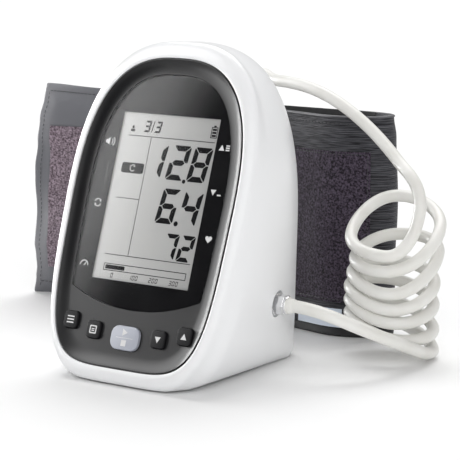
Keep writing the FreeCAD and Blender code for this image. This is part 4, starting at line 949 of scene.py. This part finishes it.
coil_middle = (0.0925, 0.1000)
coil_radius, top_loop_growth = 0.0272, 0.0012
upper_lean, top_loop_lean = 0.0032, -0.0015
coil_right = Vector((math.cos(camera_turn), math.sin(camera_turn), 0))
coil_back = Vector((-math.sin(camera_turn), math.cos(camera_turn), 0))
coil_heights = [
    0.0046, 0.0059, 0.0200, 0.0302, 0.0172, 0.0196, 0.0330, 0.0386, 0.0279, 0.0359, 0.0470, 0.0470, 0.0366,
    0.0504, 0.0600, 0.0554, 0.0473, 0.0713, 0.0765, 0.0648, 0.0628, 0.0889, 0.1018, 0.0788, 0.0710, 0.0800,
]
coil_first, coil_last = -0.04, 5.71
points_per_turn = 24


def coil_point(turn):
    """A point of the coil: packed on its left, fanned open on its right, its top loop tilted."""
    angle = 2 * math.pi * turn
    quarter = math.floor(turn * 4)
    share = turn * 4 - quarter
    last = len(coil_heights) - 1
    before, low, high, after = (coil_heights[min(max(quarter + k, 0), last)] for k in (0, 1, 2, 3))
    bend = 2 * before - 5 * low + 4 * high - after + share * (3 * (low - high) + after - before)
    height = low + share * (high - before + share * bend) / 2
    radius = coil_radius + top_loop_growth * ease(turn, 4.6, 5.4)
    across = radius * math.cos(angle)
    across += upper_lean * ease(turn, 2.5, 4.5) + top_loop_lean * ease(turn, 4.9, 5.5)
    return Vector((*coil_middle, height)) + coil_right * across + coil_back * radius * math.sin(angle)


hose_line = [
    (hose_exit, socket_y, socket_z),
    (0.0885, 0.0140, 0.0455),
    (0.1020, 0.0195, 0.0408),
    (0.1122, 0.0310, 0.0337),
    (0.1180, 0.0465, 0.0264),
    (0.1214, 0.0640, 0.0190),
    (0.1232, 0.0800, 0.0124),
    (0.1226, 0.0925, 0.0078),
]
coil_steps = round((coil_last - coil_first) * points_per_turn)
for step in range(coil_steps + 1):
    hose_line.append(coil_point(coil_first + (coil_last - coil_first) * step / coil_steps))
hose_line += [
    (0.1096, 0.0778, 0.0725),
    (0.1140, 0.0828, 0.0778),
    (0.1170, 0.0871, 0.0865),
    (0.1179, 0.0910, 0.0963),
    (0.1165, 0.0946, 0.1058),
    (0.1115, 0.0978, 0.1145),
    (0.1041, 0.1004, 0.1212),
    (0.0948, 0.1055, 0.1255),
    (0.0830, 0.1095, 0.1345),
    (0.0690, 0.1130, 0.1443),
    (0.0535, 0.1153, 0.1540),
    (0.0360, 0.1168, 0.1630),
    (0.0170, 0.1185, 0.1692),
    (-0.0020, 0.1210, 0.1716),
    (-0.0160, 0.1242, 0.1717),
    (-0.0232, 0.1280, 0.1729),
    (-0.0309, 0.1321, 0.1751),
    (-0.0412, 0.1375, 0.1729),
    (-0.04875, 0.1415, 0.1630),
    (-0.04875, 0.1415, 0.1550),
]
bpy.ops.curve.primitive_nurbs_path_add()
hose = bpy.context.object
hose.name = hose.data.name = "air_hose"
hose.data.splines.clear()
spline = hose.data.splines.new("NURBS")
spline.points.add(len(hose_line) - 1)
for place, point in zip(spline.points, hose_line):
    place.co = (*point, 1)
spline.order_u = 3
spline.use_endpoint_u = True
spline.resolution_u = 4
hose.data.dimensions = "3D"
hose.data.bevel_depth = hose_radius
hose.data.bevel_resolution = 6
hose.data.use_fill_caps = True
hose.data.materials.append(hose_pvc)
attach(hose, "hose_set")
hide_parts("hose_lead", "hose_coil", "hose_rise")

# Cuff. A flat arm cuff, 150 mm high, that stands folded once behind the monitor:
# brushed charcoal nylon outside, grey nylon lining inside, with an air bladder.
cuff_height = 0.150
cuff_half = 0.0028
cuff_y = 0.146
cuff_shares = [
    (-0.69, 0), (-0.44, -0.03), (-0.21, -0.03), (-0.01, -0.06), (0.16, -0.10), (0.29, -0.06),
    (0.385, 0.005), (0.38, 0.10), (0.28, 0.14), (0.01, 0.133), (-0.31, 0.115), (-0.65, 0.093),
    (-0.985, 0.053), (-1.29, -0.02), (-1.57, -0.10),
]
cuff_points = [Vector((x * cuff_height, cuff_y + y * cuff_height, 0)) for x, y in cuff_shares]
track_steps = 24
cuff_track = []
for k in range(1, len(cuff_points) - 1):
    before, corner, after = cuff_points[k - 1 : k + 2]
    start = before if k == 1 else (before + corner) / 2
    end = after if k == len(cuff_points) - 2 else (corner + after) / 2
    for step in range(track_steps):
        t = step / track_steps
        cuff_track.append(start * (1 - t) ** 2 + corner * 2 * t * (1 - t) + end * t**2)
cuff_track.append(cuff_points[-1])
cuff_runs = [0.0]
for first, second in zip(cuff_track, cuff_track[1:]):
    cuff_runs.append(cuff_runs[-1] + (second - first).length)
cuff_length = cuff_runs[-1]


def cuff_spot(run):
    """The cuff's middle line at a run along it: its place, outward direction and heading."""
    run = min(max(run, 0), cuff_length)
    k = next(i for i in range(1, len(cuff_runs)) if cuff_runs[i] >= run)
    share = (run - cuff_runs[k - 1]) / (cuff_runs[k] - cuff_runs[k - 1])
    way = (cuff_track[k] - cuff_track[k - 1]).normalized()
    return cuff_track[k - 1].lerp(cuff_track[k], share), Vector((way.y, -way.x, 0)), way


flap_start, flap_lift = 0.330, 0.045
edge_wave_reach = 0.045
ripple, sway, flap_fold, flap_crease = 0.0006, 0.0005, 0.0030, 0.0016
edge_waves = [
    (0.000, 0.0034), (0.012, 0.0010), (0.020, -0.0006), (0.028, 0.0002), (0.036, 0.0022), (0.050, 0.0025),
    (0.070, 0.0020), (0.090, 0.0008), (0.108, -0.0016), (0.126, -0.0052), (0.138, -0.0078), (0.150, -0.0084),
]


def edge_wave(height):
    """How far the flap's free edge stands out or draws in at a height."""
    for (low, first), (high, second) in zip(edge_waves, edge_waves[1:]):
        if height <= high:
            return first + (second - first) * ease(height, low, high)
    return edge_waves[-1][1]


def cuff_point(run, height, off):
    """A point of the cuff's cloth: off stands out on the charcoal side."""
    flap = ease(run, flap_start, cuff_length)
    run += edge_wave(height) * ease(run, cuff_length - edge_wave_reach, cuff_length)
    spot, out, way = cuff_spot(run)
    spot = spot + way * (run - min(run, cuff_length))
    slack = math.sin(math.pi * height / cuff_height)
    swell = ripple * math.sin(run * 95 + height * 40) * slack
    swell += sway * math.sin(run * 41 - height * 75 + 1.3)
    fold = flap_fold * math.sin(height * 62 + run * 60 + 0.6)
    fold += flap_crease * math.sin(height * 118 - run * 90)
    swell += fold * flap
    lift = height * (1 + flap_lift * flap)
    return spot + out * (off + swell) + Vector((0, 0, lift))


def cloth_grid(name, runs, heights, columns, rows, off):
    """A strip of cloth on the cuff, as a fine grid that stands off its middle line."""
    bpy.ops.mesh.primitive_grid_add(x_subdivisions=columns, y_subdivisions=rows, size=1)
    strip = bpy.context.object
    strip.name = strip.data.name = name
    for corner in strip.data.vertices:
        run = runs[0] + (corner.co.x + 0.5) * (runs[1] - runs[0])
        height = heights[0] + (corner.co.y + 0.5) * (heights[1] - heights[0])
        corner.co = cuff_point(run, height, off)
    return strip


cuff_columns, cuff_rows = 200, 56
hem_thinning = 0.75
cuff = cloth_grid("cuff_cover_cloth", (0, cuff_length), (0, cuff_height), cuff_columns, cuff_rows, 0)
hem = cuff.vertex_groups.new(name="padding")
for corner in cuff.data.vertices:
    row, column = divmod(corner.index, cuff_columns + 1)
    u, v = column / cuff_columns, row / cuff_rows
    inside = min(u * cuff_length, (1 - u) * cuff_length, v * cuff_height, (1 - v) * cuff_height)
    hem.add([corner.index], 1 - hem_thinning * (1 - ease(inside, 0.001, 0.014)), "REPLACE")
pad = cuff.modifiers.new("pad", "SOLIDIFY")
pad.thickness = 2 * cuff_half
pad.offset = 0
pad.vertex_group = "padding"
pad.material_offset = 1
pad.material_offset_rim = 1
soft = cuff.modifiers.new("soft", "SUBSURF")
soft.levels = soft.render_levels = 1
cuff_nylon, tree, shader = new_material("cuff_nylon", (0.07, 0.07, 0.078), 0.42)
shader.inputs["Specular IOR Level"].default_value = 0.10
shader.inputs["Sheen Weight"].default_value = 0.12
shader.inputs["Sheen Roughness"].default_value = 0.4
# The lighter streaks in the nylon's base colour are partly its streaky weave and partly painted sheen of the
# brushed satin.
grain_and_sheen_streaks = link_noise(tree, 34, 6, (0.9, 12.0, 1), "UV")
grain_and_sheen_streaks.node.inputs["Distortion"].default_value = 0.7
streak_dark, sheen_streak_light = (0.008, 0.008, 0.010), (0.150, 0.150, 0.166)
link_tint(tree, grain_and_sheen_streaks, streak_dark, sheen_streak_light, shader.inputs["Base Color"], 0.40, 0.74)
link_range(tree, grain_and_sheen_streaks, 0.66, 0.46, shader.inputs["Roughness"])
link_bump(tree, grain_and_sheen_streaks, 0.0003, shader)
cuff_lining, tree, shader = new_material("cuff_lining", (0.13, 0.13, 0.145), 0.6)
shader.inputs["Sheen Weight"].default_value = 0.3
weave = link_noise(tree, 420, 2, (3.2, 1, 1), "UV")
link_tint(tree, weave, (0.115, 0.117, 0.132), (0.150, 0.152, 0.168), shader.inputs["Base Color"])
link_bump(tree, weave, 0.00012, shader)
cuff.data.materials.append(cuff_nylon)
cuff.data.materials.append(cuff_lining)
apply_modifiers(cuff)
smooth(cuff, 60)
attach(cuff, "hose_set")
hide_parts("cuff_cover", "cuff_bladder")

# Cuff patches. A dark loop patch sewn on the charcoal side and a mauve hook
# patch sewn on the lining, each with a thick nap; the loop patch has a stitched edge.
nap_depth, nap_roughness = 0.0010, 0.00022
nap_columns, nap_rows = 96, 132
sewn_gap = 0.0001
fold_run = 0.205


def run_at(x, back):
    """The run along the cuff where its front or back layer passes x."""
    layer = [(point, run) for point, run in zip(cuff_track, cuff_runs) if (run > fold_run) == back]
    return min((abs(point.x - x), run) for point, run in layer)[1]


def nap_patch(name, runs, heights, side, material, node):
    """A napped patch on one side of the cuff: a fine grid with a rough face."""
    patch = cloth_grid(name, runs, heights, nap_columns, nap_rows, side * (cuff_half + sewn_gap))
    thicken(patch, nap_depth, side)
    ways = [corner.normal.copy() for corner in patch.data.vertices]
    for corner, way in zip(patch.data.vertices, ways):
        rough = noise.noise(corner.co * 900) + 0.6 * noise.noise(corner.co * 2100)
        corner.co += way * rough * nap_roughness
    smooth(patch, 180)
    patch.data.materials.append(material)
    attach(patch, "hose_set")
    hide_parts(node)
    return patch


def nap_material(name, dark, middle, light, scale):
    """A deep speckled nap: dark roots with lighter tips."""
    material, tree, shader = new_material(name, middle, 0.85)
    shader.inputs["Specular IOR Level"].default_value = 0.1
    shader.inputs["Sheen Weight"].default_value = 0.2
    tips = link_noise(tree, scale, 3)
    link_tint(tree, tips, dark, light, shader.inputs["Base Color"], 0.36, 0.68)
    link_bump(tree, tips, 0.0006, shader)
    return material


loop_nap = nap_material("loop_nap", (0.006, 0.004, 0.007), (0.03, 0.024, 0.036), (0.104, 0.082, 0.116), 760)
hook_nap = nap_material("hook_nap", (0.086, 0.064, 0.077), (0.18, 0.15, 0.17), (0.385, 0.310, 0.362), 760)
loop_runs = (run_at(-0.0315, False), run_at(0.0435, False) + 0.0068)
hook_runs = (run_at(-0.148, True), cuff_length - 0.0115)
loop_low, loop_high = 0.0240, 0.1265
hook_low, hook_high = 0.0205, 0.1210
loop_patch = nap_patch(
    "loop_patch_nap", loop_runs, (loop_low, loop_high), 1, loop_nap, "cuff_loop_patch"
)
hook_patch = nap_patch(
    "hook_patch_nap", hook_runs, (hook_low, hook_high), -1, hook_nap, "cuff_hook_patch"
)

# Cuff trim. A black nylon binding folded over the lower edge, a thin grey piping
# along the upper edge that is partly a painted highlight of the fold, a black strip of
# painted shade inside the back layer's upper edge, hem and patch stitching, and a
# blank pale blue label.
tape_thickness = 0.0004
bead_share, bead_round, look_ahead = 0.66, 0.45, 0.002


def finish_tape(tape, material):
    """Gives a sewn-on tape, or the strip of painted shade, its thickness and its cloth."""
    thicken(tape, tape_thickness, 0)
    smooth(tape, 60)
    tape.data.materials.append(material)
    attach(tape, "hose_set")


def edge_tape(name, runs, edge, depth, lip, material):
    """A tape on the charcoal side that turns round the cuff's lower or upper edge."""
    bpy.ops.mesh.primitive_grid_add(x_subdivisions=140, y_subdivisions=8, size=1)
    tape = bpy.context.object
    tape.name = tape.data.name = name
    inside = 1 if edge < cuff_height / 2 else -1
    turned, squash, hem_width = 0.6, 0.6, 0.014
    for corner in tape.data.vertices:
        run = runs[0] + (corner.co.x + 0.5) * (runs[1] - runs[0])
        share = corner.co.y + 0.5
        turn = math.pi * min(share / turned, 1) - math.pi / 2
        flat = max(share - turned, 0) / (1 - turned)
        off = lip * math.sin(turn) + flat * min(depth / hem_width, 1) * (cuff_half - lip + tape_thickness)
        rise = lip * (1 - math.cos(turn)) * squash + flat * depth
        corner.co = cuff_point(run, edge + inside * rise, off)
    finish_tape(tape, material)
    return tape


def stitch_row(name, stretches, pitch, side, thread, material):
    """A row of sewing: small pointed beads of thread that follow the cloth."""
    bpy.ops.mesh.primitive_cylinder_add(vertices=6, radius=thread, depth=pitch * bead_share)
    bead = bpy.context.object
    bead.name = bead.data.name = name
    bpy.ops.object.mode_set(mode="EDIT")
    bpy.ops.mesh.select_all(action="SELECT")
    bpy.ops.mesh.bevel(offset=thread * bead_round, segments=2, affect="EDGES")
    bpy.ops.object.mode_set(mode="OBJECT")
    places = []
    for (run_a, high_a), (run_b, high_b), off in stretches:
        count = max(round(math.hypot(run_b - run_a, high_b - high_a) / pitch), 1)
        for step in range(count):
            share = (step + 0.5) / count
            run = run_a + (run_b - run_a) * share
            height = high_a + (high_b - high_a) * share
            here = cuff_point(run, height, off * side)
            run += (run_b - run_a) * look_ahead
            height += (high_b - high_a) * look_ahead
            ahead = cuff_point(run, height, off * side)
            places.append((here, (ahead - here).to_track_quat("Z", "Y")))
    pieces = [bead]
    for here, turn in places[1:]:
        copy = bead.copy()
        copy.data = bead.data.copy()
        bpy.context.collection.objects.link(copy)
        copy.matrix_world = Matrix.LocRotScale(here, turn, None)
        pieces.append(copy)
    bead.matrix_world = Matrix.LocRotScale(places[0][0], places[0][1], None)
    sewn = join(name, pieces)
    bpy.ops.object.transform_apply()
    smooth(sewn, 60)
    sewn.data.materials.clear()
    sewn.data.materials.append(material)
    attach(sewn, "hose_set")
    return sewn


# Black for the lower binding, and for the strip of painted shade inside the upper edge.
binding_and_shade_black = moulded("binding_and_shade_black", (0.010, 0.010, 0.011), (0.022, 0.022, 0.024), 0.62, 1300, 0.00008)
# Grey piping, lighter than the nylon, that is partly a painted highlight of the upper fold.
piping_and_highlight_grey = moulded("piping_and_highlight_grey", (0.07, 0.07, 0.08), (0.11, 0.11, 0.12), 0.50, 1300, 0.00004)
thread_dark = moulded("thread_dark", (0.030, 0.030, 0.034), (0.050, 0.050, 0.056), 0.55, 3000, 0.00004)
binding_runs, binding_edge, binding_depth, binding_lip = (0, 0.400), 0.0003, 0.0048, 0.0011
piping_runs, piping_depth, piping_lip = (0, 0.225), 0.0004, 0.0010
low_binding = edge_tape("low_binding", binding_runs, binding_edge, binding_depth, binding_lip, binding_and_shade_black)
top_piping_and_highlight = edge_tape("top_piping_and_highlight", piping_runs, cuff_height, piping_depth, piping_lip, piping_and_highlight_grey)
# A black strip inside the back layer's upper edge: painted shade where the shade falls between the two
# layers.
painted_shade_strip_runs, painted_shade_strip_off = (0.195, flap_start + 0.020), -0.0026
painted_shade_strip_heights = (cuff_height - 0.0052, cuff_height + 0.0002)
painted_shade_strip = cloth_grid("painted_shade_strip", painted_shade_strip_runs, painted_shade_strip_heights, 80, 6, painted_shade_strip_off)
finish_tape(painted_shade_strip, binding_and_shade_black)
hem_in, hem_off = 0.0050, 0.0024
hem_end, hem_high, hem_low = cuff_length - hem_in, cuff_height - hem_in, hem_in + 0.004
front_start, front_end = 0.004, 0.150
patch_off = cuff_half + nap_depth + sewn_gap
edge_in = 0.0018
seam_start, seam_end = loop_runs[0], loop_runs[1] - edge_in
seam_low, seam_high = loop_low + edge_in, loop_high - edge_in
hem_seam = [
    ((flap_start, hem_high), (hem_end, hem_high), hem_off),
    ((hem_end, hem_high), (hem_end, hem_in), hem_off),
    ((hem_end, hem_low), (flap_start, hem_low), hem_off),
]
front_seam = [((front_start, hem_high), (front_end, hem_high), hem_off)]
loop_seam = [
    ((seam_start, seam_high), (seam_end, seam_high), patch_off),
    ((seam_end, seam_high), (seam_end, seam_low), patch_off),
    ((seam_end, seam_low), (seam_start, seam_low), patch_off),
]
hem_stitches = stitch_row("hem_stitches", hem_seam, 0.0032, -1, 0.00032, thread_dark)
front_stitches = stitch_row("front_stitches", front_seam, 0.0030, 1, 0.00030, thread_dark)
loop_stitches = stitch_row("loop_stitches", loop_seam, 0.0028, 1, 0.00032, thread_dark)
label_runs = (run_at(0.006, False) - 0.009, run_at(0.036, False) - 0.003)
label_heights, label_off = (0.0068, 0.0195), cuff_half + 0.0002
label = cloth_grid("blank_label", label_runs, label_heights, 40, 20, label_off)
thicken(label, tape_thickness, 1)
smooth(label, 40)
label_blue, tree, shader = new_material("label_blue", (0.52, 0.62, 0.76), 0.5)
label_weave = link_noise(tree, 160, 2, (6, 1, 1), "UV")
link_tint(tree, label_weave, (0.72, 0.80, 0.92), (0.79, 0.86, 0.96), shader.inputs["Base Color"])
link_bump(tree, label_weave, 0.00006, shader)
label.data.materials.append(label_blue)
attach(label, "hose_set")
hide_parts("cuff_label")
port_plastic = moulded("port_plastic", (0.16, 0.16, 0.17), (0.20, 0.20, 0.21), 0.44, 1400, 0.00002)
dress(port_plastic, "cuff_port")
